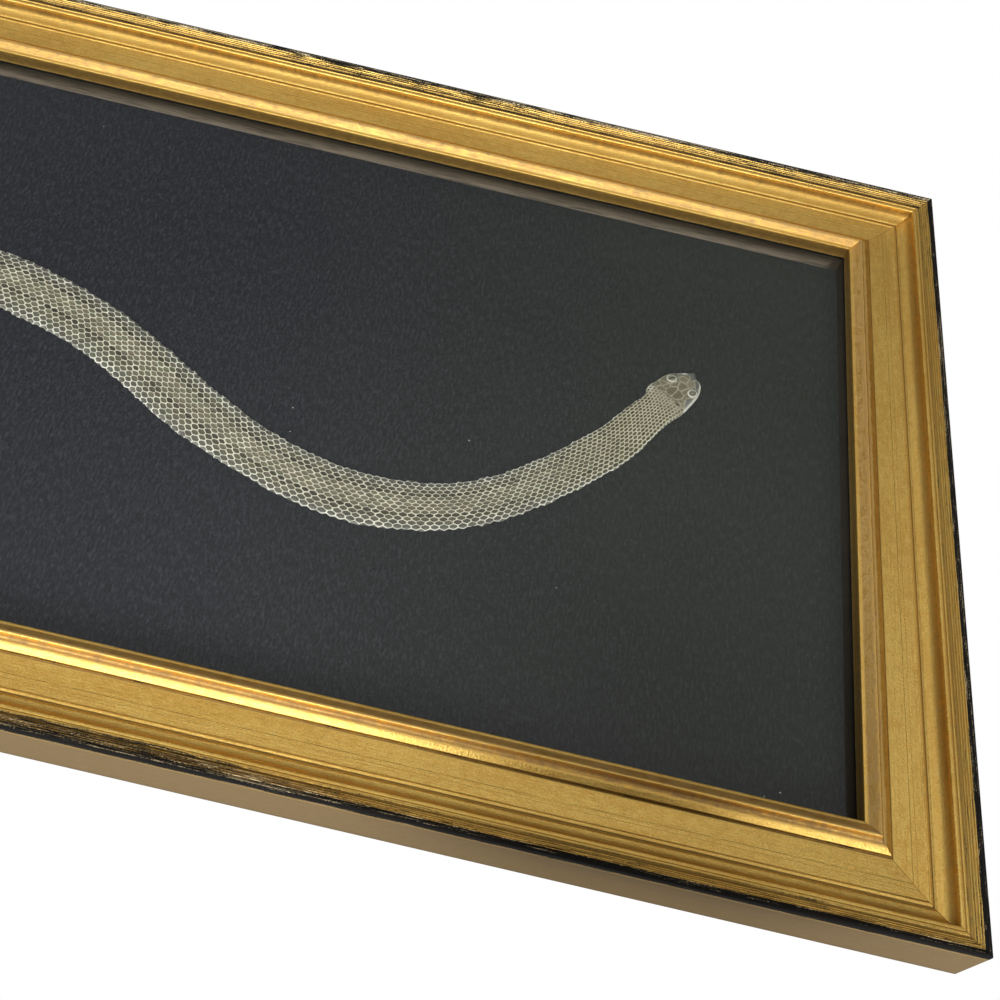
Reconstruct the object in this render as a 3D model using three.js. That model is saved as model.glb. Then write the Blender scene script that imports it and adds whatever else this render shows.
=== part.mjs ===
// A shed snake skin, fixed flat on black paper in a shallow gilt picture frame.
//
// All sizes are in millimetres. The frame lies on its back: X runs along the long
// rails, Y across the picture and +Z out of it. The origin is the middle of the back.
// A point of the moulding's section is [distance out from the sight edge, height
// above the back].

import * as THREE from "three";

// The frame.
const SIGHT_LENGTH = 1219; // opening along X, between the lips of the moulding
const SIGHT_WIDTH = 406; // opening along Y
const MITRE_GAP = 0.3; // between two rails, across the joint and along the rail
const CLEARANCE = 0.3; // between pieces that touch

// The moulding's section, from the rebate round the lip and out to the side.
const RAIL_WIDTH = 57.2;
const REBATE_WIDTH = 7;
const LIP_UNDERSIDE = 17.1;
const LIP_EDGE = [0, 27.1];
const FILLET_START = [0.4, 27.4];
const FILLET_END = [1.7, 27.6];
const BEAD_SHOULDER = [5.0, 31.0];
const BEAD_CROWN = [6.0, 31.6];
const BEAD_BACK = [7.2, 30.8];
const HOLLOW_START = [8.5, 28.4];
const HOLLOW_END = [10.2, 28.0];
const ROLL_EDGE = [14.5, 26.1];
const PANEL_INNER = [15.6, 24.4];
const PANEL_OUTER = [33.2, 25.4];
const PANEL_LIP = [34.0, 26.0];
const QUIRK = [34.7, 25.1];
const COVE_FOOT = [35.6, 25.9];
const COVE_RADIUS = 7.6;
const COVE_TOP = [43.9, 33.3];
const RIDGE_CREST = [45.1, 34.6];
const RIDGE_BACK = [46.5, 34.3];
const BEADLET_CREST = [47.4, 35.4];
const BEADLET_BACK = [48.5, 35.1];
const REEDS_START = [49.6, 35.6];
const REEDS_END = [54.2, 38.0];
const REED_COUNT = 4;
const REED_RISE = 0.35; // how far each reed stands over the slope it lies on
const OUTER_LIP_CREST = [55.2, 39.2];
const OUTER_LIP_CORNER = [57.3, 39.2];
const OUTER_LIP_FOOT = [57.2, 37.4];
const CURVE_STEPS = 4; // straight steps in each curve of the section

// What the rebate holds, from the back up.
const BOARD_RECESS = 0.2; // how far the board sits in from the rails' backs
const BOARD_THICKNESS = 2.2;
const GLASS_THICKNESS = 2;
const SPACER_THICKNESS = 5.2;
const SPACER_SETBACK = 0.5; // from the sight edge out to the spacers' inner faces

// The skin. Places along it are measured from the snout.
const SKIN_AROUND = 24; // facets round a section
const SKIN_ALONG = 140; // sections from snout to tail tip
const SKIN_CROWDING = 1.6; // over 1 draws the sections together towards the head
const RIM_THICKNESS = 0.45; // half the thickness of the skin's flattened edge

// The middle line as it lies on the board, [x, y], snout to tail tip.
const SKIN_PATH = [
  [511.4, 78.4],
  [505.3, 68.8],
  [494, 53.2],
  [482.9, 37.2],
  [466, 12.5],
  [445.4, -9.1],
  [423.2, -29.2],
  [399.3, -46.9],
  [372.5, -60.6],
  [338.6, -68.2],
  [304, -68.8],
  [270, -61.6],
  [237, -49.4],
  [201.3, -31.7],
  [167.1, -10.9],
  [131.5, 7.4],
  [93.7, 20.5],
  [50, 29],
  [0, 27],
  [-55, 9],
  [-110, -22],
  [-170, -50],
  [-232, -61],
  [-295, -50],
  [-350, -20],
  [-400, 16],
  [-447, 38],
  [-490, 40],
  [-520, 28],
];

// [place, half the width there]
const HALF_WIDTH = [
  [0, 0],
  [1, 4.8],
  [3, 7.8],
  [6, 10.2],
  [12, 12.9],
  [21, 14.1],
  [30, 14],
  [42, 12.6],
  [55, 13],
  [75, 13.8],
  [100, 14.5],
  [150, 14.6],
  [200, 16],
  [260, 17.7],
  [330, 17.6],
  [370, 19.2],
  [450, 19.5],
  [520, 20.8],
  [640, 21.5],
  [750, 20.8],
  [850, 18.4],
  [930, 14.6],
  [990, 11.4],
  [1065, 7],
  [1135, 3],
  [1161, 0],
];

// [place, height of the crown over the rim's middle there]
const CROWN_HEIGHT = [
  [0, 0],
  [2, 1],
  [6, 2],
  [14, 2.9],
  [28, 2.8],
  [45, 2],
  [80, 1.5],
  [700, 1.6],
  [980, 1.3],
  [1125, 0.7],
  [1161, 0],
];

// The two clear caps that covered the eyes.
const EYE_PLACE = 12.5;
const EYE_OFFSET = 8.6; // to each side of the middle line
const EYE_RADIUS = 2.9;
const EYE_RISE = 0.9;

// Materials.
const gilt = new THREE.MeshStandardMaterial({
  color: 0xc79a4a,
  roughness: 0.35,
  metalness: 0.9,
});
const clearGlass = new THREE.MeshStandardMaterial({
  color: 0xf2f6f4,
  roughness: 0.03,
  metalness: 0,
  transparent: true,
  opacity: 0.12,
});
const darkStain = new THREE.MeshStandardMaterial({
  color: 0x2a2722,
  roughness: 0.6,
  metalness: 0,
});
const blackPaper = new THREE.MeshStandardMaterial({
  color: 0x323234,
  roughness: 0.9,
  metalness: 0,
});
const castSkin = new THREE.MeshStandardMaterial({
  color: 0xa8a284,
  roughness: 0.55,
  metalness: 0,
});

function named(name, geometry, material) {
  const mesh = new THREE.Mesh(geometry, material);
  mesh.name = name;
  return mesh;
}

// A closed outline of the moulding, drawn with its back along the x axis.
function mouldingSection() {
  const section = new THREE.Shape();
  section.moveTo(REBATE_WIDTH, 0);
  section.lineTo(REBATE_WIDTH, LIP_UNDERSIDE);
  section.lineTo(0, LIP_UNDERSIDE);
  section.lineTo(...LIP_EDGE);
  section.lineTo(...FILLET_START);
  section.lineTo(...FILLET_END);
  drawInnerBead(section);
  section.lineTo(...PANEL_OUTER);
  section.lineTo(...PANEL_LIP);
  section.lineTo(...QUIRK);
  section.lineTo(...COVE_FOOT);
  drawCove(section);
  drawReeds(section);
  section.quadraticCurveTo(...OUTER_LIP_CREST, ...midway(OUTER_LIP_CREST, OUTER_LIP_CORNER));
  section.quadraticCurveTo(...OUTER_LIP_CORNER, ...OUTER_LIP_FOOT);
  section.lineTo(RAIL_WIDTH, 0);
  section.closePath();
  return section;
}

// A rounded bead, a hollow behind it and a roll that drops to the flat panel.
function drawInnerBead(section) {
  section.lineTo(...BEAD_SHOULDER);
  section.quadraticCurveTo(...BEAD_CROWN, ...BEAD_BACK);
  section.lineTo(...HOLLOW_START);
  section.lineTo(...HOLLOW_END);
  section.quadraticCurveTo(ROLL_EDGE[0] - 1, HOLLOW_END[1], ...ROLL_EDGE);
  section.lineTo(...PANEL_INNER);
}

// A quarter-round cove from the quirk up to the ridge, then the ridge and a beadlet.
function drawCove(section) {
  const centre = [COVE_TOP[0] - COVE_RADIUS, COVE_FOOT[1] + COVE_RADIUS];
  section.absarc(...centre, COVE_RADIUS, -Math.PI / 2, 0, false);
  section.lineTo(...RIDGE_CREST);
  section.lineTo(...RIDGE_BACK);
  section.lineTo(...BEADLET_CREST);
  section.lineTo(...BEADLET_BACK);
  section.lineTo(...REEDS_START);
}

// Fine half-round reeds up the slope to the outer lip.
function drawReeds(section) {
  const start = new THREE.Vector2(...REEDS_START);
  const end = new THREE.Vector2(...REEDS_END);
  for (let reed = 1; reed <= REED_COUNT; reed++) {
    const foot = start.clone().lerp(end, reed / REED_COUNT);
    const crest = start.clone().lerp(end, (reed - 0.5) / REED_COUNT);
    section.lineTo(crest.x, crest.y + REED_RISE);
    section.lineTo(foot.x, foot.y);
  }
}

function midway(a, b) {
  return [(a[0] + b[0]) / 2, (a[1] + b[1]) / 2];
}

// One rail with both ends cut at 45 degrees, lying along X on the picture's -Y side.
function railGeometry(sightLength, sightAcross) {
  const geometry = new THREE.ExtrudeGeometry(mouldingSection(), {
    depth: 1,
    bevelEnabled: false,
    curveSegments: CURVE_STEPS,
  });
  const place = geometry.getAttribute("position");
  for (let i = 0; i < place.count; i++) {
    const out = place.getX(i);
    const height = place.getY(i);
    const end = place.getZ(i) < 0.5 ? 1 : -1;
    const reach = sightLength / 2 + out - MITRE_GAP / 2;
    place.setXYZ(i, end * reach, -sightAcross / 2 - out, height);
  }
  geometry.computeVertexNormals();
  return geometry;
}

// The four rails, each the one before it turned a quarter round the picture.
function makeRails() {
  const rails = new THREE.Group();
  ["rail_bottom", "rail_right", "rail_top", "rail_left"].forEach((name, turn) => {
    const isLong = turn % 2 === 0;
    const along = isLong ? SIGHT_LENGTH : SIGHT_WIDTH;
    const across = isLong ? SIGHT_WIDTH : SIGHT_LENGTH;
    const rail = named(name, railGeometry(along, across), gilt);
    rail.rotation.z = (turn * Math.PI) / 2;
    rails.add(rail);
  });
  return rails;
}

const FILL_REACH = REBATE_WIDTH - CLEARANCE; // how far glass and board run into the rebate
const BOARD_TOP = BOARD_RECESS + BOARD_THICKNESS;
const GLASS_UNDERSIDE = LIP_UNDERSIDE - CLEARANCE - GLASS_THICKNESS;

function makeGlass() {
  const pane = new THREE.BoxGeometry(
    SIGHT_LENGTH + 2 * FILL_REACH,
    SIGHT_WIDTH + 2 * FILL_REACH,
    GLASS_THICKNESS,
  );
  const glass = named("glass", pane, clearGlass);
  glass.position.z = GLASS_UNDERSIDE + GLASS_THICKNESS / 2;
  return glass;
}

function makeBoard() {
  const sheet = new THREE.BoxGeometry(
    SIGHT_LENGTH + 2 * FILL_REACH,
    SIGHT_WIDTH + 2 * FILL_REACH,
    BOARD_THICKNESS,
  );
  const board = named("backing_board", sheet, blackPaper);
  board.position.z = BOARD_RECESS + BOARD_THICKNESS / 2;
  return board;
}

// Four strips between board and glass. The long ones run past the ends of the short ones.
function makeSpacers() {
  const spacers = new THREE.Group();
  const low = BOARD_TOP + CLEARANCE;
  const height = GLASS_UNDERSIDE - CLEARANCE - low;
  const insideLength = SIGHT_LENGTH + 2 * SPACER_SETBACK;
  const insideWidth = SIGHT_WIDTH + 2 * SPACER_SETBACK;
  const long = new THREE.BoxGeometry(insideLength + 2 * SPACER_THICKNESS, SPACER_THICKNESS, height);
  const short = new THREE.BoxGeometry(SPACER_THICKNESS, insideWidth - 2 * CLEARANCE, height);
  const offX = (insideLength + SPACER_THICKNESS) / 2;
  const offY = (insideWidth + SPACER_THICKNESS) / 2;
  const places = [
    ["spacer_top", long, 0, offY],
    ["spacer_bottom", long, 0, -offY],
    ["spacer_left", short, -offX, 0],
    ["spacer_right", short, offX, 0],
  ];
  for (const [name, geometry, x, y] of places) {
    const spacer = named(name, geometry, darkStain);
    spacer.position.set(x, y, low + height / 2);
    spacers.add(spacer);
  }
  return spacers;
}

// The value at a place along the skin: a smooth curve through a list of [place, value].
function valueAt(stations, place) {
  const last = stations.length - 1;
  const next = Math.max(1, Math.min(last, stations.findIndex(([s]) => s >= place)));
  const slope = (i) => {
    const a = stations[Math.max(i - 1, 0)];
    const b = stations[Math.min(i + 1, last)];
    return (b[1] - a[1]) / (b[0] - a[0]);
  };
  const [s0, v0] = stations[next - 1];
  const [s1, v1] = stations[next];
  const span = s1 - s0;
  const t = (place - s0) / span;
  const fromStart = v0 * (1 + 2 * t) + span * slope(next - 1) * t;
  const fromEnd = v1 * (3 - 2 * t) - span * slope(next) * (1 - t);
  return fromStart * (1 - t) ** 2 + fromEnd * t ** 2;
}

function eyeCapRise(place, side) {
  const away = Math.hypot(place - EYE_PLACE, Math.abs(side) - EYE_OFFSET) / EYE_RADIUS;
  return away < 1 ? EYE_RISE * Math.sqrt(1 - away ** 2) : 0;
}

// The flattened sleeve. It starts as a sphere whose poles become the snout and the tail
// tip: its rings are set across the path, drawn out to the skin's width and pressed flat.
function makeSkin() {
  const points = SKIN_PATH.map(([x, y]) => new THREE.Vector3(x, y, 0));
  const path = new THREE.CatmullRomCurve3(points);
  path.arcLengthDivisions = 1000;
  const length = HALF_WIDTH.at(-1)[0];
  const geometry = new THREE.SphereGeometry(1, SKIN_AROUND, SKIN_ALONG);
  const vertex = geometry.getAttribute("position");
  const ring = geometry.getAttribute("uv");
  for (let i = 0; i < vertex.count; i++) {
    const fraction = (1 - ring.getY(i)) ** SKIN_CROWDING;
    const place = fraction * length;
    const angle = ring.getX(i) * 2 * Math.PI;
    const centre = path.getPointAt(fraction);
    const ahead = path.getTangentAt(fraction);
    const side = valueAt(HALF_WIDTH, place) * Math.cos(angle);
    const crown = valueAt(CROWN_HEIGHT, place) + eyeCapRise(place, side);
    const lift = Math.sin(angle) > 0 ? crown : RIM_THICKNESS * Math.min(1, crown);
    vertex.setXYZ(
      i,
      centre.x + ahead.y * side,
      centre.y - ahead.x * side,
      RIM_THICKNESS + lift * Math.sin(angle),
    );
  }
  geometry.deleteAttribute("uv");
  geometry.computeVertexNormals();
  const skin = named("shed_skin", geometry, castSkin);
  skin.position.z = BOARD_TOP + CLEARANCE;
  return skin;
}

const framedSkin = new THREE.Group();
framedSkin.add(makeRails(), makeGlass(), makeSpacers(), makeBoard(), makeSkin());

export default framedSkin;
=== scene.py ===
"""A shed snake skin laid on black paper behind glass, in a gilt moulded frame.

Everything is in metres in the frame's own axes: X along the long rails, Y across the
picture and Z out of it. Sizes written in millimetres are turned to metres by MM.
"""

import math

import bmesh
import bpy
import numpy as np
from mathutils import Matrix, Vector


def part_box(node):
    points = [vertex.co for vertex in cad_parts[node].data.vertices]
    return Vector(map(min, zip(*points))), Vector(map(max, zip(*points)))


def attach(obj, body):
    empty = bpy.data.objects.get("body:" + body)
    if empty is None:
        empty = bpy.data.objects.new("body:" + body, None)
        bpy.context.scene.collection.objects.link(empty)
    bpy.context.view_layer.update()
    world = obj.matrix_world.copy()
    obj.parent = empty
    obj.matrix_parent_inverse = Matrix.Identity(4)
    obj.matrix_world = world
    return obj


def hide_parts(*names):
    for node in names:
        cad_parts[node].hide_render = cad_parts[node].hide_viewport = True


bl_info = {
    "name": "Framed shed skin",
    "version": (1, 0, 0),
    "blender": (4, 5, 0),
    "location": "3D View > Sidebar > Shed skin",
    "description": "Builds a gilt frame with a shed snake skin under glass",
    "category": "Add Mesh",
}

MM = 0.001

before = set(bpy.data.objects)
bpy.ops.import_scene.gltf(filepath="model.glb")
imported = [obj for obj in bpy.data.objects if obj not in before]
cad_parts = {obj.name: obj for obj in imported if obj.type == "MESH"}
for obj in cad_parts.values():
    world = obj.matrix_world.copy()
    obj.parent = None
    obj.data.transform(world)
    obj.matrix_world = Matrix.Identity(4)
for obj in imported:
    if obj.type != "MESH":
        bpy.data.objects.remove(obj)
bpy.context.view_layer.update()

board_low, board_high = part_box("backing_board")
glass_low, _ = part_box("glass")
_, rail_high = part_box("rail_bottom")
side_low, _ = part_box("rail_right")

# The moulding's section in millimetres: [out from the sight edge, height over the back].
SIGHT_EDGE_X = side_low.x / MM
SIGHT_EDGE_Y = -rail_high.y / MM
RAIL_WIDTH = 57.2
MITRE_GAP = 0.3
REBATE_WIDTH = 7.0
LIP_UNDERSIDE = 17.1
LIP_TOP = 27.1
FACE_TOP = 39.2
SIDE_TOP = 37.4
BACK_CHAMFER = 0.3
REED_COUNT = 4
REED_RISE = 0.35
# Heights up the lip's wall, and the highest, the lowest and the count of those down the side.
LIP_WALL = (LIP_UNDERSIDE, 17.6, 18.2, 20.0, 23.0, 26.0)
SIDE_WALL = (36.6, 0.4, 9)
# The face: (name, control point, end, steps). Each curve starts where the last one ends.
FACE_CURVES = (
    ("lip's edge", (0.1, 27.4), (0.4, 27.4), 3),
    ("fillet", (1.0, 27.7), (1.7, 27.6), 3),
    ("bead's shoulder", (3.6, 29.4), (5.0, 30.7), 8),
    ("bead's crown", (6.2, 31.75), (7.1, 31.6), 9),
    ("bead's back", (7.7, 31.5), (7.9, 30.6), 6),
    ("hollow's wall", (8.1, 28.7), (8.7, 28.4), 4),
    ("hollow", (9.3, 27.8), (10.2, 28.0), 5),
    ("roll", (11.0, 27.95), (11.9, 27.5), 6),
    ("roll's outer half", (13.4, 26.75), (14.5, 26.1), 10),
    ("roll's edge", (14.6, 24.6), (15.6, 24.4), 6),
    ("panel", None, (33.2, 25.4), 22),
    ("panel's lip", (33.45, 25.75), (33.7, 25.8), 3),
    ("quirk", (34.4, 25.75), (35.2, 25.5), 4),
    ("step's foot", (35.6, 25.4), (36.0, 25.5), 4),
    ("step", (36.9, 26.25), (37.3, 26.3), 5),
    ("cove", (43.9, 26.8), (43.9, 33.3), 18),
    ("ridge", (44.05, 34.6), (45.0, 34.7), 6),
    ("ridge's back", (45.9, 34.85), (46.5, 34.65), 5),
    ("beadlet", (46.75, 35.5), (47.4, 35.4), 5),
    ("beadlet's back", (48.2, 35.5), (48.5, 35.1), 4),
    ("groove", (49.0, 35.2), (49.6, 35.6), 3),
    ("reeds", None, (54.2, 38.0), 8),
    ("outer lip", (55.2, 39.2), (56.25, 39.2), 6),
    ("outer lip's corner", (57.2, 39.2), (57.2, 37.4), 8),
)
# How far apart the sections along a rail stand.
STATION_GAP = 14.0

# The two hairlines scored along the panel, out from the sight edge in millimetres.
HAIRLINES = (25.5, 28.0)
HAIRLINE_WIDTH = 0.34
HAIRLINE_DEPTH = 0.07

# The gilding along the section, by distance round it from the lip's top edge in
# millimetres, below nought down the lip's wall and past the width down the side:
# (distance, red clay, brown umber, black, bronze paint, polish). The black at the foot of
# the lip's wall, where it meets the glass, is a painted shadow line, and the umber and
# black in the roll's groove are painted shade.
FINISH_STOPS = (
    # Painted shadow line: black at the foot of the lip's wall, by the glass.
    (-12, 0.1, 0.75, 0.95, 0, 0), (-9.5, 0.1, 0.75, 0.95, 0, 0), (-8.9, 0.2, 0.55, 0.1, 0, 0),
    (-4.1, 0.1, 0.72, 0.12, 0, 0), (-0.8, 0.2, 0.62, 0.05, 0, 0), (0, 0.1, 0.25, 0, 0, 0.3),
    (0.5, 0.1, 0, 0, 0, 0.4), (1.2, 0.3, 0.2, 0, 0, 0.2), (2.1, 0.56, 0.06, 0, 0, 0.3),
    (4.9, 0.54, 0.1, 0, 0, 0.3), (5.4, 0.6, 0.36, 0, 0, 0), (6.5, 0.6, 0.36, 0, 0, 0),
    (6.9, 0.35, 0.05, 0, 0, 0.4), (7.5, 0.35, 0.05, 0, 0, 0.4), (8.2, 0.65, 0.42, 0, 0, 0),
    (10, 0.6, 0.38, 0, 0, 0), (10.9, 0.4, 0.18, 0, 0, 0.2), (12.1, 0.05, 0, 0, 0, 0.4),
    # Painted shade in the roll's groove: umber and black from 14.35 to 15.7.
    (14, 0.05, 0, 0, 0, 0.4), (14.35, 0.2, 0.6, 0, 0, 0.2), (14.6, 0.1, 1, 0.5, 0, 0),
    (15, 0.1, 0.8, 0.1, 0, 0), (15.3, 0.1, 1, 0.5, 0, 0), (15.7, 0, 0.45, 0, 0, 0.2),
    (16, 0, 0, 0, 0, 0.4), (33, 0, 0, 0, 0, 0.3), (33.7, 0.05, 0, 0, 0, 0.4),
    (34.2, 0.05, 0.15, 0, 0, 0), (34.9, 0.1, 0.22, 0, 0, 0), (35.15, 0.1, 0.85, 0.12, 0, 0),
    (35.75, 0.1, 0.85, 0.12, 0, 0), (36, 0.1, 0.3, 0, 0, 0.2), (36.3, 0.05, 0.05, 0, 0, 0.4),
    (37.2, 0.05, 0.05, 0, 0, 0.4), (37.9, 0.1, 0.18, 0, 0, 0.3), (41, 0.15, 0.22, 0, 0, 0.3),
    (42, 0.2, 0.38, 0, 0, 0.2), (42.9, 0.2, 0.52, 0, 0, 0), (43.8, 0.2, 0.58, 0, 0, 0),
    (44.1, 0.05, 0.05, 0, 0, 0.4), (44.7, 0.05, 0.05, 0, 0, 0.2), (45.4, 0.1, 0.2, 0, 0, 0),
    (46.2, 0.1, 0.3, 0, 0, 0), (46.5, 0.1, 0.75, 0.35, 0, 0), (46.7, 0.05, 0.05, 0, 0, 0.3),
    (47.2, 0.05, 0.15, 0.15, 0, 0.3), (47.6, 0.1, 0.6, 0.38, 0, 0), (48.6, 0.1, 0.86, 0.4, 0, 0),
    (49.5, 0.1, 0.72, 0.36, 0, 0.2), (49.8, 0.1, 0.45, 0.25, 0, 0.2),
    (50.2, 0.1, 0.4, 0.28, 0, 0.2), (50.5, 0.1, 0.76, 0.47, 0, 0.2),
    (50.8, 0.1, 0.7, 0.45, 0, 0.2), (51, 0.1, 0.35, 0.24, 0, 0.2),
    (51.3, 0.1, 0.35, 0.26, 0, 0.2), (51.6, 0.1, 0.74, 0.5, 0, 0.2),
    (51.9, 0.1, 0.68, 0.47, 0, 0.2), (52.1, 0.1, 0.3, 0.26, 0, 0.2),
    (52.5, 0.1, 0.25, 0.28, 0, 0.2), (52.8, 0.1, 0.6, 0.54, 0, 0.2),
    (53.1, 0.1, 0.55, 0.5, 0, 0.2), (53.3, 0.1, 0.2, 0.3, 0, 0.2), (53.6, 0.1, 0.2, 0.36, 0, 0.2),
    (54, 0.05, 0.3, 0.6, 0, 0.2), (54.6, 0, 0.2, 0.62, 0, 0.3), (55.2, 0, 0.15, 0.62, 0, 0.5),
    (56.2, 0, 0.15, 0.58, 0, 0.5), (56.7, 0, 0.1, 0.92, 0, 0.2), (59, 0, 0, 0.95, 0, 0.2),
    (59.4, 0, 0, 0, 1, 0), (95, 0, 0, 0, 1, 0),
)

# Each rail, how far along it in millimetres the outer lip's black is rubbed, and the
# painted shade on its lip's wall and ridge: a share of umber, most on the upper rail.
RAIL_WEAR_AND_SHADE = (
    ("bottom", 350.0, 0.0), ("right", -400.0, 0.0), ("top", 900.0, 0.17), ("left", -400.0, 0.08),
)
# Parts of the section that wear in their own way, for band().
WALL_BAND = (-8.9, -8.0, -0.6, 0.2)
RIDGE_BAND = (41.0, 43.0, 50.0, 51.0)
REEDS_BAND = (47.0, 47.8, 53.4, 54.4)
OUTER_LIP_BAND = (53.4, 54.4, 57.0, 59.0)
RIPPLE_BAND = (1.0, 3.0, 56.0, 57.0)

GLASS_IOR = 1.28

# The skin's middle line on the paper, snout to tail tip, in millimetres.
SKIN_PATH = (
    (511.4, 78.4), (505.3, 68.8), (494, 53.2), (482.9, 37.2), (466, 12.5), (445.4, -9.1),
    (423.2, -29.2), (399.3, -46.9), (372.5, -60.6), (338.6, -68.2), (304, -68.8),
    (270, -61.6), (237, -49.4), (201.3, -31.7), (167.1, -10.9), (131.5, 7.4),
    (93.7, 20.5), (50, 29), (0, 27), (-55, 9), (-110, -22), (-170, -50), (-232, -61),
    (-295, -50), (-350, -20), (-400, 16), (-447, 38), (-490, 40), (-520, 28),
)
SKIN_LENGTH = 1161.0

# (distance from the snout, value there), all in millimetres.
HALF_WIDTH = (
    (0, 0), (1, 4.8), (3, 7.8), (6, 10.2), (12, 12.9), (21, 14.1), (30, 14), (42, 12.6),
    (55, 13), (75, 13.8), (100, 14.5), (150, 14.6), (200, 16), (260, 17.7), (330, 17.6),
    (370, 19.2), (450, 19.5), (520, 20.8), (640, 21.5), (750, 20.8), (850, 18.4),
    (930, 14.6), (990, 11.4), (1065, 7), (1135, 3), (1161, 0),
)
CROWN_HEIGHT = (
    (0, 0), (2, 1), (6, 2), (14, 2.9), (28, 2.8), (45, 2), (80, 1.5), (700, 1.6),
    (980, 1.3), (1125, 0.7), (1161, 0),
)
# The two edges up to NEAR_HEAD, each by its own distance from the middle line.
NEAR_HEAD = 75.0
LEFT_EDGE = (
    (0, 0.5), (0.8, 2.4), (2.4, 4.9), (4.5, 6.8), (6.7, 8.6), (9, 10.4), (11.6, 11.9), (16, 13),
    (21.1, 13.5), (25.5, 13.8), (27.6, 14.5), (31.3, 14.5), (34.3, 13.2), (37.3, 11.6),
    (42.5, 11.8), (55, 12.9), (75, 13.8),
)
RIGHT_EDGE = (
    (0, 0.5), (0.6, 3.2), (1.2, 5.2), (2.9, 8.2), (5.8, 10.2), (11.1, 12.4), (15.8, 13.3),
    (24.7, 14.3), (30, 14.8), (33, 14.8), (35.5, 14.2), (37.8, 13.8), (45.5, 13.2), (55, 13.2),
    (75, 13.8),
)
SCALE_PITCH = (
    (0, 2.2), (27, 2.3), (38, 2.8), (48, 3.3), (60, 3.9), (100, 4.4), (160, 4.9), (300, 5.2),
    (900, 5.3), (1040, 4.6), (1161, 3.4),
)
# How far the line along the back lies off the sleeve's middle, towards +side.
SPINE_DRIFT = (
    (0, 0.8), (60, 0.3), (260, 0), (340, 0.6), (450, 2.7), (560, 2.4), (800, -1.5), (1000, 0),
    (1161, 0),
)
# Half length and half height of a scale's clear field, as shares of the pitches.
FIELD_LENGTH = ((0, 0.36), (50, 0.46), (90, 0.47), (200, 0.44), (400, 0.43), (1161, 0.43))
FIELD_HEIGHT = (
    (0, 0.34), (50, 0.39), (90, 0.42), (200, 0.51), (330, 0.54), (420, 0.57), (1161, 0.57),
)

# Lengths of the skin for band(): where its folded edges are worn, and where the torn
# edge by the jaw is turned up.
WORN_EDGE = (25, 60, 1040, 1130)
FLAP = (25, 28, 33, 35.5)

STRIPE_ROW = 3
BELLY_STEPS = 6
SKIN_BASE = board_high.z / MM + 0.3
RIM_THICKNESS = 0.45
BODY_START = 27.6
BODY_END = 1159.0
HEAD_END = 33.0

# The stage, in metres and degrees but for the floor and the flag, which are in
# millimetres. The flag is given by its left, right, bottom, top and Y.
WHITE = (1.0, 1.0, 1.0, 1.0)
FLOOR_HALF, FLOOR_DROP = 6000.0, -0.3
KEY_PLACE, KEY_TURN = (0.15, -1.72, 1.42), (50, 0, -5)
FLAG = (355.0, 605.0, 75.0, 340.0, -330.0)
CAMERA_SENSOR = 36.0
CAMERA_PLACE = (0.3271, -0.45814, 0.65473)
CAMERA_TURN = (34.937, -7.759, 10.647)
CAMERA_LENS = 46.18
CAMERA_SHIFT = (0.0962, -0.1036)


# ---------------------------------------------------------------- curves and meshes


def through(stations, place):
    """A smooth curve through (place, value) stations.

    Between two stations it is the cubic with their values and, at each, the slope from
    the station before to the one after.
    """
    table = np.asarray(stations, float)
    known, value = table[:, 0], table[:, 1]
    before = np.maximum(np.arange(len(known)) - 1, 0)
    after = np.minimum(np.arange(len(known)) + 1, len(known) - 1)
    slope = (value[after] - value[before]) / (known[after] - known[before])
    place = np.clip(place, known[0], known[-1])
    i = np.clip(np.searchsorted(known, place, side="right") - 1, 0, len(known) - 2)
    span = known[i + 1] - known[i]
    t = (place - known[i]) / span
    start = value[i] * (1 + 2 * t) + span * slope[i] * t
    end = value[i + 1] * (3 - 2 * t) - span * slope[i + 1] * (1 - t)
    return start * (1 - t) ** 2 + end * t**2


def smoothstep(value, low, high):
    """0 below low, 1 above high, and 3t^2 - 2t^3 between."""
    t = np.clip((value - low) / (high - low), 0, 1)
    return t * t * (3 - 2 * t)


def band(value, rise, full, fall, gone):
    """1 from full to fall, and a smooth step down to 0 at rise and at gone."""
    return smoothstep(value, rise, full) * (1 - smoothstep(value, fall, gone))


def toward(colour, goal, share):
    """Colours moved towards a goal, each by its own share of the way."""
    return colour + (np.array(goal) - colour) * share[..., None]


def ring_grid(rows, around):
    """Row, column and next column of each face on a grid that closes round its columns."""
    i, j = np.meshgrid(np.arange(rows - 1), np.arange(around), indexing="ij")
    return i, j, (j + 1) % around


def wander(place, period, seed, octaves=3):
    """A smooth random line between about -1 and 1.

    It is a sum of sines whose periods halve and whose heights halve, with phases drawn
    from the seed.
    """
    draw = np.random.default_rng(seed)
    total = np.zeros_like(np.asarray(place, float))
    for octave in range(octaves):
        turn = 2 * math.pi * 2**octave * draw.uniform(0.8, 1.2) / period
        total += 0.5**octave * np.sin(place * turn + draw.uniform(0, 2 * math.pi))
    return total / 1.5


def quadratic(start, control, end, steps):
    """Points on (1-t)^2 start + 2t(1-t) control + t^2 end, t over (0, 1]."""
    t = np.linspace(0, 1, steps + 1)[1:, None]
    a, b, c = (np.array(p, float) for p in (start, control, end))
    return (1 - t) ** 2 * a + 2 * t * (1 - t) * b + t**2 * c


def mesh_object(name, points, quads, triangles=(), smooth=True):
    """A new mesh object from points in millimetres, quads and triangles."""
    mesh = bpy.data.meshes.new(name)
    faces = np.asarray(quads, int).tolist() + np.asarray(triangles, int).tolist()
    mesh.from_pydata((np.asarray(points) * MM).tolist(), [], faces)
    mesh.polygons.foreach_set("use_smooth", np.full(len(mesh.polygons), smooth))
    made = bpy.data.objects.new(name, mesh)
    bpy.context.scene.collection.objects.link(made)
    return made


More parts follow.
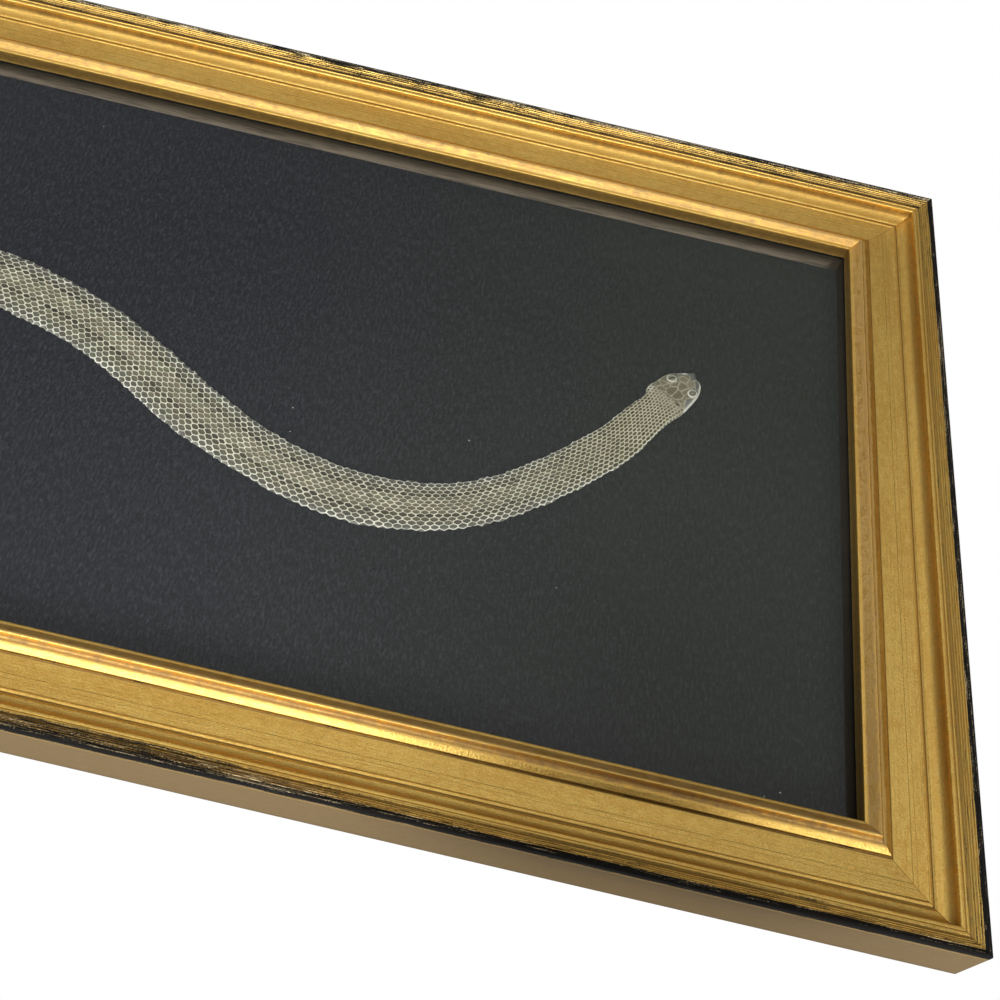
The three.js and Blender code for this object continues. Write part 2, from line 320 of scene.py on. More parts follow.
def store(piece, name, values):
    """Writes a number or a colour for every vertex, for the materials to read."""
    values = np.asarray(values, np.float32)
    kind, key = ("FLOAT", "value") if values.ndim == 1 else ("FLOAT_COLOR", "color")
    attribute = piece.data.attributes.new(name, kind, "POINT")
    attribute.data.foreach_set(key, values.ravel())


def close_holes(piece):
    """Fills every open loop of edges with a face and turns all faces outwards."""
    work = bmesh.new()
    work.from_mesh(piece.data)
    open_edges = [e for e in work.edges if e.is_boundary]
    bmesh.ops.holes_fill(work, edges=open_edges, sides=0)
    bmesh.ops.recalc_face_normals(work, faces=work.faces)
    work.to_mesh(piece.data)
    work.free()


def finish_piece(piece, material, replaced=()):
    """Gives a piece its material and the CAD nodes it stands for."""
    piece.data.materials.append(material)
    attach(piece, "root")
    if replaced:
        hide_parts(*replaced)
    return piece


def dress_node(name, material):
    """Gives a CAD node that stays in view its material."""
    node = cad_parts[name]
    node.data.materials.clear()
    node.data.materials.append(material)


# ---------------------------------------------------------------- material helpers


def put(tree, kind, inputs=None, **settings):
    """Adds a node, sets its own settings, and links or fills the named inputs."""
    made = tree.nodes.new(kind)
    for name, value in settings.items():
        setattr(made, name, value)
    for name, value in (inputs or {}).items():
        if isinstance(value, bpy.types.NodeSocket):
            tree.links.new(value, made.inputs[name])
        else:
            made.inputs[name].default_value = value
    return made


def calc(tree, operation, a, b=0.0, clamp=False):
    """A Math node's result."""
    node = put(tree, "ShaderNodeMath", {0: a, 1: b}, operation=operation, use_clamp=clamp)
    return node.outputs[0]


def plus(tree, first, *others):
    """The sum of values."""
    for other in others:
        first = calc(tree, "ADD", first, other)
    return first


def times(tree, first, *others):
    """The product of values."""
    for other in others:
        first = calc(tree, "MULTIPLY", first, other)
    return first


def one_less(tree, value):
    """1 less a value."""
    return calc(tree, "SUBTRACT", 1.0, value)


def mixture(tree, *pairs):
    """The sum of values, each times its weight."""
    return plus(tree, *[times(tree, value, weight) for value, weight in pairs])


def swings(tree, *pairs):
    """The sum of noises' swings round their middle of 0.5, each times its weight."""
    return mixture(tree, *[(calc(tree, "SUBTRACT", value, 0.5), weight) for value, weight in pairs])


def blend(tree, share, a, b, way="MIX"):
    """Two colours mixed by a share from 0 to 1."""
    colours = {0: share, 6: as_rgba(a), 7: as_rgba(b)}
    node = put(tree, "ShaderNodeMix", colours, data_type="RGBA", blend_type=way)
    return node.outputs[2]


def as_rgba(colour):
    """A colour socket as it is, and three numbers with an alpha of 1."""
    return colour if isinstance(colour, bpy.types.NodeSocket) else (*tuple(colour)[:3], 1.0)


def shade(colour, factor):
    """A colour times one factor, or times one for each of red, green and blue."""
    return [float(c) for c in np.array(colour) * factor]


def ramp(tree, value, low, high, bottom=0.0, top=1.0):
    """A smooth step from bottom to top as value goes from low to high."""
    inputs = {0: value, 1: low, 2: high, 3: bottom, 4: top}
    node = put(tree, "ShaderNodeMapRange", inputs, interpolation_type="SMOOTHSTEP")
    return node.outputs[0]


def stretch(tree, vector, scale):
    """Coordinates multiplied by a scale on each axis."""
    node = put(tree, "ShaderNodeMapping", {"Vector": vector, "Scale": scale})
    return node.outputs["Vector"]


def noise(tree, vector, scale, detail, roughness=0.55, distortion=0.0):
    """Fractal noise around 0.5."""
    inputs = {
        "Vector": vector, "Scale": scale, "Detail": detail, "Roughness": roughness,
        "Distortion": distortion,
    }
    return put(tree, "ShaderNodeTexNoise", inputs).outputs["Fac"]


def grain(tree, place, scale, *shape):
    """Noise on coordinates multiplied by a scale on each axis."""
    return noise(tree, stretch(tree, place, scale), 1.0, *shape)


def read(tree, name, output="Fac"):
    """A vertex attribute."""
    return put(tree, "ShaderNodeAttribute", attribute_name=name).outputs[output]


def bump(tree, height, strength, depth):
    """A normal tilted by a height field, depth in millimetres."""
    inputs = {"Height": height, "Strength": strength, "Distance": depth * MM}
    return put(tree, "ShaderNodeBump", inputs).outputs["Normal"]


def object_place(tree):
    """Object coordinates."""
    return put(tree, "ShaderNodeTexCoord").outputs["Object"]


def axes(tree, vector):
    """A vector's X, Y and Z."""
    return put(tree, "ShaderNodeSeparateXYZ", {0: vector}).outputs


def light_ray(tree, name):
    """What the Light Path node says of the ray."""
    return put(tree, "ShaderNodeLightPath").outputs[name]


def new_material(name):
    """An empty node material and its tree."""
    material = bpy.data.materials.new(name)
    material.use_nodes = True
    material.node_tree.nodes.clear()
    return material, material.node_tree


def surface(tree, **inputs):
    """Ends a tree with a Principled shader. Input names have _ for each space."""
    named = {key.replace("_", " "): value for key, value in inputs.items()}
    shader = put(tree, "ShaderNodeBsdfPrincipled", named)
    put(tree, "ShaderNodeOutputMaterial", {"Surface": shader.outputs[0]})


def end_mixed(tree, share, first, second, end="ShaderNodeOutputMaterial"):
    """Ends a tree with two shaders mixed by a share from 0 to 1."""
    inputs = {0: share, 1: first.outputs[0], 2: second.outputs[0]}
    mixed = put(tree, "ShaderNodeMixShader", inputs)
    put(tree, end, {"Surface": mixed.outputs[0]})


# ---------------------------------------------------------------- settings


def colour_property(name, description, default):
    """A colour setting."""
    return bpy.props.FloatVectorProperty(
        name=name, description=description, default=default, subtype="COLOR", min=0, max=1
    )


def number_property(name, description, default, **limits):
    """A setting that is a number from 0 up."""
    return bpy.props.FloatProperty(
        name=name, description=description, default=default, min=0, **limits
    )


def share_property(name, description, default):
    """A setting from 0 to 1."""
    return number_property(name, description, default, subtype="FACTOR", max=1)


def length_property(name, description, default):
    """A length setting in metres."""
    return number_property(name, description, default, subtype="DISTANCE", unit="LENGTH")


class GildingSettings(bpy.types.PropertyGroup):
    """The frame's finish."""

    leaf: colour_property("Leaf", "Metal leaf where it is whole", (0.96, 0.64, 0.170))
    worn_leaf: colour_property(
        "Worn leaf", "Metal leaf where it is rubbed and toned", (0.83, 0.495, 0.115)
    )
    clay: colour_property("Clay", "Red clay under the leaf", (0.45, 0.265, 0.125))
    # Umber also stands for painted shade on the lip's wall and ridge, most on the upper rail, and
    # in the roll's groove; black also for a painted shadow line at the lip wall's foot and in the
    # groove.
    umber: colour_property(
        "Umber", "Brown glaze in the grooves and on the lip's wall", (0.125, 0.068, 0.016)
    )
    black: colour_property("Black", "Black paint under the outer reeds", (0.005, 0.004, 0.003))
    rubbed: colour_property(
        "Rubbed leaf", "Pale rubbed metal showing through the black", (0.60, 0.54, 0.40)
    )
    bronze: colour_property("Bronze", "Bronze paint on the sides", (0.275, 0.186, 0.082))
    roughness: share_property("Roughness", "Roughness of the unburnished leaf", 0.38)
    ripple: length_property("Ripple", "Height of the hand-laid ripple in the gesso", 0.00010)


class SkinSettings(bpy.types.PropertyGroup):
    """The skin's scales and colours."""

    rows: bpy.props.IntProperty(
        name="Rows", description="Rows of scales from one side of the belly to the other",
        default=19, min=7, max=27,
    )
    row_pitch: length_property("Row pitch", "Distance between rows along the back", 0.0024)
    field: colour_property(
        "Scale", "A scale's clear field over the black paper", (0.118, 0.107, 0.064)
    )
    back_field: colour_property(
        "Back scale", "A scale's field along the middle of the back", (0.162, 0.145, 0.085)
    )
    dark_field: colour_property(
        "Stripe scale", "A scale's field in the two dark stripes", (0.036, 0.029, 0.012)
    )
    neck_field: colour_property(
        "Neck scale", "A scale's field behind the head", (0.066, 0.056, 0.022)
    )
    edge_field: colour_property(
        "Side scale", "A scale's field towards the folded edges", (0.092, 0.087, 0.062)
    )
    neck_net: colour_property(
        "Neck net", "Thin skin between the scales behind the head", (0.50, 0.465, 0.325)
    )
    net: colour_property("Net", "Thin skin between the scales", (0.73, 0.70, 0.545))
    edge_net: colour_property(
        "Edge net", "Thin skin between the scales at the folded edges", (0.80, 0.78, 0.66)
    )
    crease: colour_property("Crease", "The folded edge itself", (0.86, 0.85, 0.76))
    net_height: length_property("Net height", "How far the folded net stands up", 0.00014)
    scale_height: length_property("Scale height", "How far a scale's middle domes", 0.00012)


class HeadSettings(bpy.types.PropertyGroup):
    """The head's shields and eye caps."""

    shield: colour_property("Shield", "Brown shields between the eyes", (0.155, 0.135, 0.080))
    dark_shield: colour_property(
        "Dark shield", "The large shields behind the eyes", (0.118, 0.103, 0.056)
    )
    pale_shield: colour_property(
        "Pale shield", "Shields in front of the eyes and on the cheeks", (0.20, 0.178, 0.115)
    )
    snout_shield: colour_property("Snout shield", "Shields over the snout", (0.17, 0.152, 0.105))
    small_shield: colour_property(
        "Small shield", "Small scales behind the crown", (0.160, 0.145, 0.090)
    )
    clear_shield: colour_property(
        "Clear shield", "See-through shields along the lip", (0.128, 0.130, 0.112)
    )
    suture: colour_property("Suture", "Lines between shields", (0.360, 0.325, 0.225))
    ring: colour_property("Ring", "Rims of the eye caps and the folded lip", (0.60, 0.585, 0.475))
    lid: colour_property("Eye cap", "Clear skin of the eye caps", (0.24, 0.225, 0.16))
    pupil: colour_property("Slit", "The dark slit in each eye cap", (0.020, 0.017, 0.009))


class PaperSettings(bpy.types.PropertyGroup):
    """What lies round the skin."""

    paper: colour_property("Paper", "Black backing paper", (0.0104, 0.0112, 0.0150))
    fibre: colour_property("Fibre", "Paler fibres in the paper", (0.037, 0.040, 0.050))
    back: colour_property("Back", "The board's bare back", (0.19, 0.145, 0.095))
    strip: colour_property("Strip", "Dark stain on the spacer strips", (0.075, 0.062, 0.047))
    tint: colour_property("Glass", "The glass seen straight through", (0.985, 0.995, 0.990))


class StageSettings(bpy.types.PropertyGroup):
    """Floor, lights and camera."""

    floor: colour_property("Floor", "Pale floor", (0.93, 0.93, 0.93))
    sky_low: number_property("Low sky", "Brightness of the room near the horizon", 0.345)
    sky_high: number_property("High sky", "Brightness of the room overhead", 0.80)
    wall: share_property("Wall", "How much darker the room is low down beyond the upper rail", 0.90)
    key_power: number_property("Key", "Power of the large soft light", 51, unit="POWER")
    key_width: length_property("Key width", "Width of the large soft light", 2.3)
    key_height: length_property("Key height", "Height of the large soft light", 1.1)


# ---------------------------------------------------------------- the frame


def panel_line(inner, outer, steps):
    """The flat panel with its two scored hairlines, a V cut in each."""
    out = np.linspace(inner[0], outer[0], steps + 1)[1:]
    cuts = [line + HAIRLINE_WIDTH * np.array([-0.5, 0.0, 0.5]) for line in HAIRLINES]
    out = np.unique(np.concatenate([out, *cuts]))
    height = inner[1] + (outer[1] - inner[1]) * (out - inner[0]) / (outer[0] - inner[0])
    for line in HAIRLINES:
        height -= HAIRLINE_DEPTH * np.clip(1 - abs(out - line) / (HAIRLINE_WIDTH / 2), 0, 1)
    return np.stack([out, height], 1)


def reed_line(start, end, steps):
    """Half-round reeds up a slope: the slope plus REED_RISE times the sine of each reed."""
    share = np.linspace(0, 1, REED_COUNT * steps + 1)[1:]
    points = np.array(start) + share[:, None] * (np.array(end) - np.array(start))
    points[:, 1] += REED_RISE * abs(np.sin(share * REED_COUNT * math.pi))
    return points


def moulding_face():
    """The seen part of the section, from under the lip over the face and down the side."""
    pieces = [np.array([(0.0, height) for height in (*LIP_WALL, LIP_TOP)])]
    start = (0.0, LIP_TOP)
    for name, control, end, steps in FACE_CURVES:
        if name == "panel":
            pieces.append(panel_line(start, end, steps))
        elif name == "reeds":
            pieces.append(reed_line(start, end, steps))
        else:
            pieces.append(quadratic(start, control, end, steps))
        start = end
    heights = np.linspace(*SIDE_WALL)
    pieces.append(np.stack([np.full(len(heights), RAIL_WIDTH), heights], 1))
    pieces.append(np.array([(RAIL_WIDTH - BACK_CHAMFER, 0.0)]))
    return np.concatenate(pieces)


def moulding_section():
    """The whole closed section, and how far round its face each point lies."""
    face = moulding_face()
    back = np.array(
        [(40.0, 0.0), (22.0, 0.0), (REBATE_WIDTH, 0.0), (REBATE_WIDTH, LIP_UNDERSIDE)]
    )
    reach = np.where(face[:, 0] > 0, face[:, 0], face[:, 1] - LIP_TOP)
    on_side = (face[:, 0] > RAIL_WIDTH - 0.5) & (face[:, 1] < SIDE_TOP + 1)
    reach[on_side] = RAIL_WIDTH + SIDE_TOP - face[on_side, 1]
    reach = np.maximum.accumulate(reach)
    back_reach = reach[-1] + np.array([17.0, 35.0, 50.0, 67.0])
    return np.concatenate([face, back]), np.concatenate([reach, back_reach])


def rail_weights(reach, along, rubbed_until, toned):
    """Every vertex's share of clay, umber, black and bronze, and its polish.

    They are read along the section. Up to the distance along named by rubbed_until the
    outer lip's black is rubbed and the reeds are dark. Past it the lip is black and the
    reeds keep more leaf. The last argument is painted shade: a share of umber added to the
    lip's wall and the ridge.
    """
    stops = np.array(FINISH_STOPS)
    weights = [np.interp(reach, stops[:, 0], column) for column in stops[:, 1:].T]
    spread = np.tile(weights, len(along))
    past = smoothstep(along, rubbed_until - 70, rubbed_until + 50)
    on_reeds = band(reach, *REEDS_BAND)
    on_wall_and_ridge = band(reach, *WALL_BAND) + band(reach, *RIDGE_BAND)
    # Painted shade: the rail's share of umber on the lip's wall and the ridge.
    browner = toned * on_wall_and_ridge - 0.14 * past * on_reeds
    blacker = 0.13 * past * band(reach, *OUTER_LIP_BAND) + (0.12 - 0.17 * past) * on_reeds
    spread[1] = np.clip(spread[1] + browner.ravel(), 0, 1)
    spread[2] = np.clip(spread[2] + blacker.ravel(), 0, 1)
    return spread


def ripple(along, reach, seed):
    """Hand-laid unevenness: the product of two wandering lines, one each way."""
    lengthwise = wander(along, 170.0, seed) + 0.5 * wander(along, 31.0, seed + 1)
    crosswise = 1 + 0.6 * wander(reach, 23.0, seed + 2)
    return lengthwise[:, None] * crosswise[None, :]


def make_rail(name, node, turn, sight_half, across_half, seed, rubbed_until, toned):
    """One rail: the section carried along X between two 45 degree cuts, then turned.

    A section point at distance u out from the sight edge runs from -(h + u) to h + u,
    h being half the opening's length less the joint's gap, and lies h' + u out from the
    middle, h' being half the opening across.
    """
    settings = bpy.context.scene.shed_gilding
    section, reach = moulding_section()
    ring = len(section)
    stations = int(2 * sight_half / STATION_GAP) + 2
    share = np.linspace(-1, 1, stations)
    along = share[:, None] * (sight_half + section[:, 0] - MITRE_GAP / 2)
    lift = settings.ripple / MM * ripple(share * sight_half, reach, seed)
    lift *= band(reach, *RIPPLE_BAND) * (1 - share[:, None] ** 8)
    height = np.minimum(section[:, 1] + lift, FACE_TOP)
    out = np.broadcast_to(-(across_half + section[:, 0]), along.shape)
    c, s = math.cos(turn), math.sin(turn)
    points = np.stack([c * along - s * out, s * along + c * out, height], -1).reshape(-1, 3)

    i, j, k = ring_grid(stations, ring)
    quads = np.stack([i * ring + j, (i + 1) * ring + j, (i + 1) * ring + k, i * ring + k], -1)
    piece = mesh_object(name, points, quads.reshape(-1, 4))
    # UV: along the rail and round the section, in metres.
    end_reach = np.append(reach, reach[-1] + 17.0)
    corner_along = np.stack([along[i, j], along[i + 1, j], along[i + 1, k], along[i, k]], -1)
    corner_round = np.stack([reach[j], reach[j], end_reach[j + 1], end_reach[j + 1]], -1)
    uv = np.stack([corner_along, corner_round], -1) * MM
    layer = piece.data.uv_layers.new(name="moulding")
    layer.data.foreach_set("uv", uv.astype(np.float32).ravel())
    weights = rail_weights(reach, along, rubbed_until, toned)
    store(piece, "finish", weights[:4].T)
    store(piece, "polish", weights[4])
    close_holes(piece)
    flatten_caps(piece, ring)
    return finish_piece(piece, bpy.data.materials["gilding"], (node,))


def flatten_caps(piece, corners):
    """Shades the two end faces flat and keeps their edges sharp."""
    sides = np.empty(len(piece.data.polygons), int)
    piece.data.polygons.foreach_get("loop_total", sides)
    edge_of = {key: number for number, key in enumerate(piece.data.edge_keys)}
    for face in np.nonzero(sides >= corners)[0]:
        polygon = piece.data.polygons[int(face)]
        polygon.use_smooth = False
        for key in polygon.edge_keys:
            piece.data.edges[edge_of[key]].use_edge_sharp = True


def gilding_material():
    """Worn metal leaf over clay, umber in the grooves, black towards the edge, and painted shade.
    """
    settings = bpy.context.scene.shed_gilding
    material, tree = new_material("gilding")
    place = put(tree, "ShaderNodeUVMap", uv_map="moulding").outputs["UV"]
    finish = {"Color": read(tree, "finish", "Color")}
    clay, umber, black = put(tree, "ShaderNodeSeparateColor", finish).outputs
    bronze = read(tree, "finish", "Alpha")
    polish = read(tree, "polish")

    sheets = grain(tree, place, (9, 30, 1), 3)
    streaks = grain(tree, place, (28, 900, 1), 4, 0.65)
    drag = grain(tree, place, (46, 1700, 1), 3, 0.7)
    speckle = grain(tree, place, (900, 900, 1), 3, 0.7)
    flakes = grain(tree, place, (170, 260, 1), 5, 0.72)

    toned = ramp(tree, swings(tree, (sheets, 0.6), (flakes, 0.9)), -0.16, 0.16)
    leaf = blend(tree, toned, settings.worn_leaf, settings.leaf)
    patchy = plus(tree, swings(tree, (streaks, 0.30), (speckle, 0.80)), 0.97)
    leaf = blend(tree, 1.0, leaf, grey(tree, patchy), "MULTIPLY")

    # Curled cracks and two scored lines in the leaf.
    swirl = put(tree, "ShaderNodeTexNoise", {"Vector": place, "Scale": 260.0, "Detail": 3.0})
    wiggle = {"Vector": blend(tree, 0.011, place, swirl.outputs["Color"], "ADD"), "Scale": 135.0}
    cells = put(tree, "ShaderNodeTexVoronoi", wiggle, feature="DISTANCE_TO_EDGE")
    crack = one_less(tree, ramp(tree, cells.outputs["Distance"], 0.012, 0.055))
    here = ramp(tree, noise(tree, place, 75.0, 3), 0.50, 0.60)
    marks = times(tree, crack, here, 0.11)
    across = axes(tree, place)[1]
    kept = ramp(tree, plus(tree, streaks, swings(tree, (flakes, 0.8))), 0.38, 0.55)
    for line, strength in zip(HAIRLINES, (0.62, 0.30)):
        off = calc(tree, "ABSOLUTE", calc(tree, "SUBTRACT", across, line * MM))
        scored = one_less(tree, ramp(tree, off, 0.10 * MM, 0.32 * MM))
        marks = calc(tree, "MAXIMUM", marks, times(tree, scored, kept, strength))
    leaf = blend(tree, marks, leaf, settings.umber)

    uneven = swings(tree, (flakes, 1.1), (streaks, 0.7), (speckle, 0.5))
    clay_shows = ramp(tree, plus(tree, clay, uneven), 0.20, 0.85)
    umber_shows = ramp(tree, plus(tree, umber, times(tree, uneven, 0.55)), 0.12, 0.95)
    rubbed = swings(tree, (drag, 1.5), (speckle, 0.7), (sheets, 0.5))
    black_shows = ramp(tree, plus(tree, black, rubbed), 0.40, 0.64)

    colour = blend(tree, times(tree, clay_shows, 0.75), leaf, settings.clay)
    colour = blend(tree, times(tree, umber_shows, 0.92), colour, settings.umber)
    uneven_paint = ramp(tree, flakes, 0.35, 0.65)
    painted = blend(tree, uneven_paint, settings.bronze, shade(settings.bronze, 0.93))
    colour = blend(tree, bronze, colour, painted)
    pale = times(tree, ramp(tree, black, 0.50, 0.62), one_less(tree, bronze), 0.7)
    colour = blend(tree, pale, colour, settings.rubbed)
    colour = blend(tree, black_shows, colour, settings.black)

    covered = black_shows
    for coat, share in ((bronze, 0.8), (umber_shows, 0.45), (clay_shows, 0.55)):
        covered = calc(tree, "MAXIMUM", covered, times(tree, coat, share))
    metal = calc(tree, "SUBTRACT", 1.0, covered, clamp=True)
    coats = ((covered, 0.20), (clay_shows, 0.14), (black_shows, 0.15), (polish, -0.10))
    rough = mixture(tree, *coats)
    rough = plus(tree, rough, swings(tree, (speckle, 0.2)), settings.roughness)
    relief = mixture(tree, (streaks, 0.26), (speckle, 0.50))
    relief = times(tree, relief, one_less(tree, times(tree, bronze, 0.8)))
    normal = bump(tree, relief, 0.85, 0.65)
    surface(
        tree, Base_Color=colour, Metallic=metal, Roughness=rough, Specular_IOR_Level=0.2,
        Normal=normal,
    )
    return material


def grey(tree, value):
    """A number as a grey colour."""
    return put(tree, "ShaderNodeCombineColor", {0: value, 1: value, 2: value}).outputs[0]


# ---------------------------------------------------------------- glass, strips, board


def glass_material():
    """Clear glass that lets light through to what it covers."""
    tint = as_rgba(bpy.context.scene.shed_paper.tint)
    material, tree = new_material("picture_glass")
    inputs = {"Base Color": tint, "Roughness": 0.0, "IOR": GLASS_IOR, "Transmission Weight": 1.0}
    pane = put(tree, "ShaderNodeBsdfPrincipled", inputs)
    open_way = put(tree, "ShaderNodeBsdfTransparent", {"Color": tint})
    ray = put(tree, "ShaderNodeLightPath").outputs
    passes = calc(tree, "MAXIMUM", ray["Is Shadow Ray"], ray["Is Diffuse Ray"])
    end_mixed(tree, passes, pane, open_way)
    return material


def strip_material():
    """Dark-stained softwood, streaked along, with painted shadow: black by the glass, paler at its
    foot.
    """
    stain = bpy.context.scene.shed_paper.strip
    material, tree = new_material("stained_strip")
    place = object_place(tree)
    fine = grain(tree, place, (60, 60, 900), 4, 0.6)
    worn = grain(tree, place, (14, 14, 240), 3, 0.6)
    streaks = ramp(tree, mixture(tree, (fine, 0.6), (worn, 0.5)), 0.36, 0.62)
    colour = blend(tree, streaks, shade(stain, 0.55), shade(stain, 2.6))
    x, _, z = axes(tree, place)
    # Painted shadow of the lip: black next to the glass, fading to the plain stain at the foot.
    painted = ramp(tree, z, board_high.z + 1.5 * MM, glass_low.z - 1.0 * MM)
    # Painted shade: the left and right strips, and the ends of the others, turn dark.
    shaded_sides = ramp(tree, calc(tree, "ABSOLUTE", x), 0.598, 0.606, 0.0, 0.88)
    painted = calc(tree, "MAXIMUM", painted, shaded_sides)
    colour = blend(tree, painted, colour, shade(stain, 0.06))
    surface(tree, Base_Color=colour, Roughness=0.62, Normal=bump(tree, fine, 0.4, 0.2))
    return material


def board_material():
    """Black fibrous paper with painted light on the front, plain brown board on the back."""
    settings = bpy.context.scene.shed_paper
    material, tree = new_material("backing")
    place = object_place(tree)
    x, _, z = axes(tree, place)
    fibres = grain(tree, place, (640, 170, 1), 4, 0.7, 0.3)
    tooth = grain(tree, place, (700, 420, 1), 3, 0.7)
    cloud = noise(tree, place, 18.0, 3)
    # Painted light: the paper turns lighter and warmer towards the head's end, in patches.
    to_head = ramp(tree, x, 0.10, 0.62, -0.25, 0.85)
    painted_light = calc(tree, "ADD", to_head, times(tree, cloud, 0.4), clamp=True)
    paper = blend(tree, painted_light, settings.paper, shade(settings.paper, (2.1, 2.2, 1.3)))
    fibre = blend(tree, painted_light, settings.fibre, shade(settings.fibre, (1.05, 1.08, 0.80)))
    specks = ramp(tree, mixture(tree, (fibres, 0.6), (tooth, 0.4)), 0.46, 0.64)
    front = blend(tree, specks, paper, fibre)
    pulp = ramp(tree, grain(tree, place, (260, 90, 1), 5, 0.6), 0.3, 0.7)
    back = blend(tree, pulp, shade(settings.back, 0.8), settings.back)
    is_front = calc(tree, "GREATER_THAN", z, (board_low.z + board_high.z) / 2)
    relief = mixture(tree, (fibres, 0.7), (tooth, 0.5))
    colour = blend(tree, is_front, back, front)
    normal = bump(tree, relief, 0.25, 0.10)
    surface(tree, Base_Color=colour, Roughness=0.92, Specular_IOR_Level=0.05, Normal=normal)
    return material


# ---------------------------------------------------------------- the skin


def path_at(place):
    """The skin's middle line and its direction at distances from the snout.

    Through each pair of path points runs a cubic whose end slopes come from the points
    on both sides, weighed by the square roots of the gaps.
    """
    points = np.array(SKIN_PATH, float)
    first = 2 * points[0] - points[1]
    last = 2 * points[-1] - points[-2]
    all_points = np.vstack([first, points, last])
    gaps = np.linalg.norm(np.diff(all_points, axis=0), axis=1) ** 0.5
    p0, p1, p2, p3 = (all_points[i : i + len(points) - 1] for i in range(4))
    g0, g1, g2 = (gaps[i : i + len(points) - 1, None] for i in range(3))
    m1 = ((p1 - p0) / g0 - (p2 - p0) / (g0 + g1) + (p2 - p1) / g1) * g1
    m2 = ((p2 - p1) / g1 - (p3 - p1) / (g1 + g2) + (p3 - p2) / g2) * g1
    t = np.linspace(0, 1, 60, endpoint=False)[None, :, None]
    p1, p2, m1, m2 = (v[:, None, :] for v in (p1, p2, m1, m2))
    dense = (
        (2 * t**3 - 3 * t**2 + 1) * p1
        + (t**3 - 2 * t**2 + t) * m1
        + (3 * t**2 - 2 * t**3) * p2
        + (t**3 - t**2) * m2
    ).reshape(-1, 2)
    dense = np.vstack([dense, points[-1]])
    run = np.insert(np.cumsum(np.linalg.norm(np.diff(dense, axis=0), axis=1)), 0, 0)
    run *= SKIN_LENGTH / run[-1]
    place = np.asarray(place, float)
    centre = np.stack([np.interp(place, run, dense[:, k]) for k in (0, 1)], -1)
    slope = np.gradient(dense, run, axis=0)
    ahead = np.stack([np.interp(place, run, slope[:, k]) for k in (0, 1)], -1)
    ahead /= np.linalg.norm(ahead, axis=-1, keepdims=True)
    return centre, ahead


def fold_steps(place, side):
    """Small steps in the folded edge: a saw-tooth whose teeth wander in length."""
    walk = place / 24.0 + 0.8 * wander(place, 140.0, 5 + side) + 0.37 * side
    tooth = walk - np.floor(walk)
    return 0.9 * (tooth**3 - 0.25) * smoothstep(place, 60, 120)


def half_width(place, side):
    """Half the sleeve's width, with the folded edge's wear on that side (+1 or -1)."""
    near_head = through(LEFT_EDGE if side > 0 else RIGHT_EDGE, place)
    width = np.where(place < NEAR_HEAD, near_head, through(HALF_WIDTH, place))
    rough_edge = 0.22 * wander(place, 11.0, 20 + side) + 0.18 * wander(place, 37.0, 30 + side)
    worn = band(place, *WORN_EDGE) * (rough_edge + fold_steps(place, side))
    return np.maximum(width + worn, 0.5)


def lay_on_sleeve(place, off_spine, raise_by):
    """Where a spot of the skin lies.

    off_spine is its distance round the sleeve from the line along the back. The sleeve
    is flat: past an edge the distance runs back underneath. The upper layer stands
    over the edge by the crown's height times the root of 1 minus the square of the
    distance from the middle as a share of the half width.
    """
    drift = through(SPINE_DRIFT, place) * smoothstep(place, 20, 80)
    across = drift + off_spine
    width = np.where(across > 0, half_width(place, 1), half_width(place, -1))
    over = abs(across) > width
    flat = np.where(over, np.sign(across) * (2 * width - abs(across)), across)
    share = np.clip(flat / width, -1, 1)
    arch = np.sqrt(1 - share**2)
    crown = through(CROWN_HEIGHT, place)
    sag = 0.16 * wander(place, 95.0, 41) + 0.14 * wander(place + 3.1 * across, 27.0, 42)
    top = crown * arch * (1 + sag)
    low = -RIM_THICKNESS * np.minimum(1, crown) * arch
    height = SKIN_BASE + RIM_THICKNESS + np.where(over, low, top)
    height = height + np.where(over, -0.25 * raise_by, raise_by * np.minimum(1, 0.4 + arch))
    centre, ahead = path_at(place)
    x = centre[..., 0] + ahead[..., 1] * flat
    y = centre[..., 1] - ahead[..., 0] * flat
    return np.stack([x, y, np.maximum(height, SKIN_BASE - 0.2)], -1), share, over


def column_places():
    """Distances from the snout at whole and half columns: the pitch added up."""
    place = np.linspace(BODY_START, BODY_END, 6000)
    columns = np.cumsum(np.diff(place) / through(SCALE_PITCH, place[1:]))
    return place, np.concatenate([[0], columns])


def row_distance(row, place):
    """A row's distance from the line along the back.

    The rows widen away from the back, and all of them narrow with the sleeve.
    """
    pitch = bpy.context.scene.shed_skin.row_pitch / MM
    spread = np.minimum(through(HALF_WIDTH, place) / 18.0, 1.05)
    return spread * np.sign(row) * (pitch * abs(row) + 0.035 * row**2)


# A scale's outline, in quarter columns and quarter rows from its middle.
SCALE_OUTLINE = np.array([
    (2, 0), (2, 1), (1, 2), (0, 3), (-1, 2), (-2, 1),
    (-2, 0), (-2, -1), (-1, -2), (0, -3), (1, -2), (2, -1),
])
# Where the clear field ends along the line to each of those twelve points.
CORNER_SHARE = np.tile([0.88, 0.87, 0.875, 0.82, 0.875, 0.87], 2)


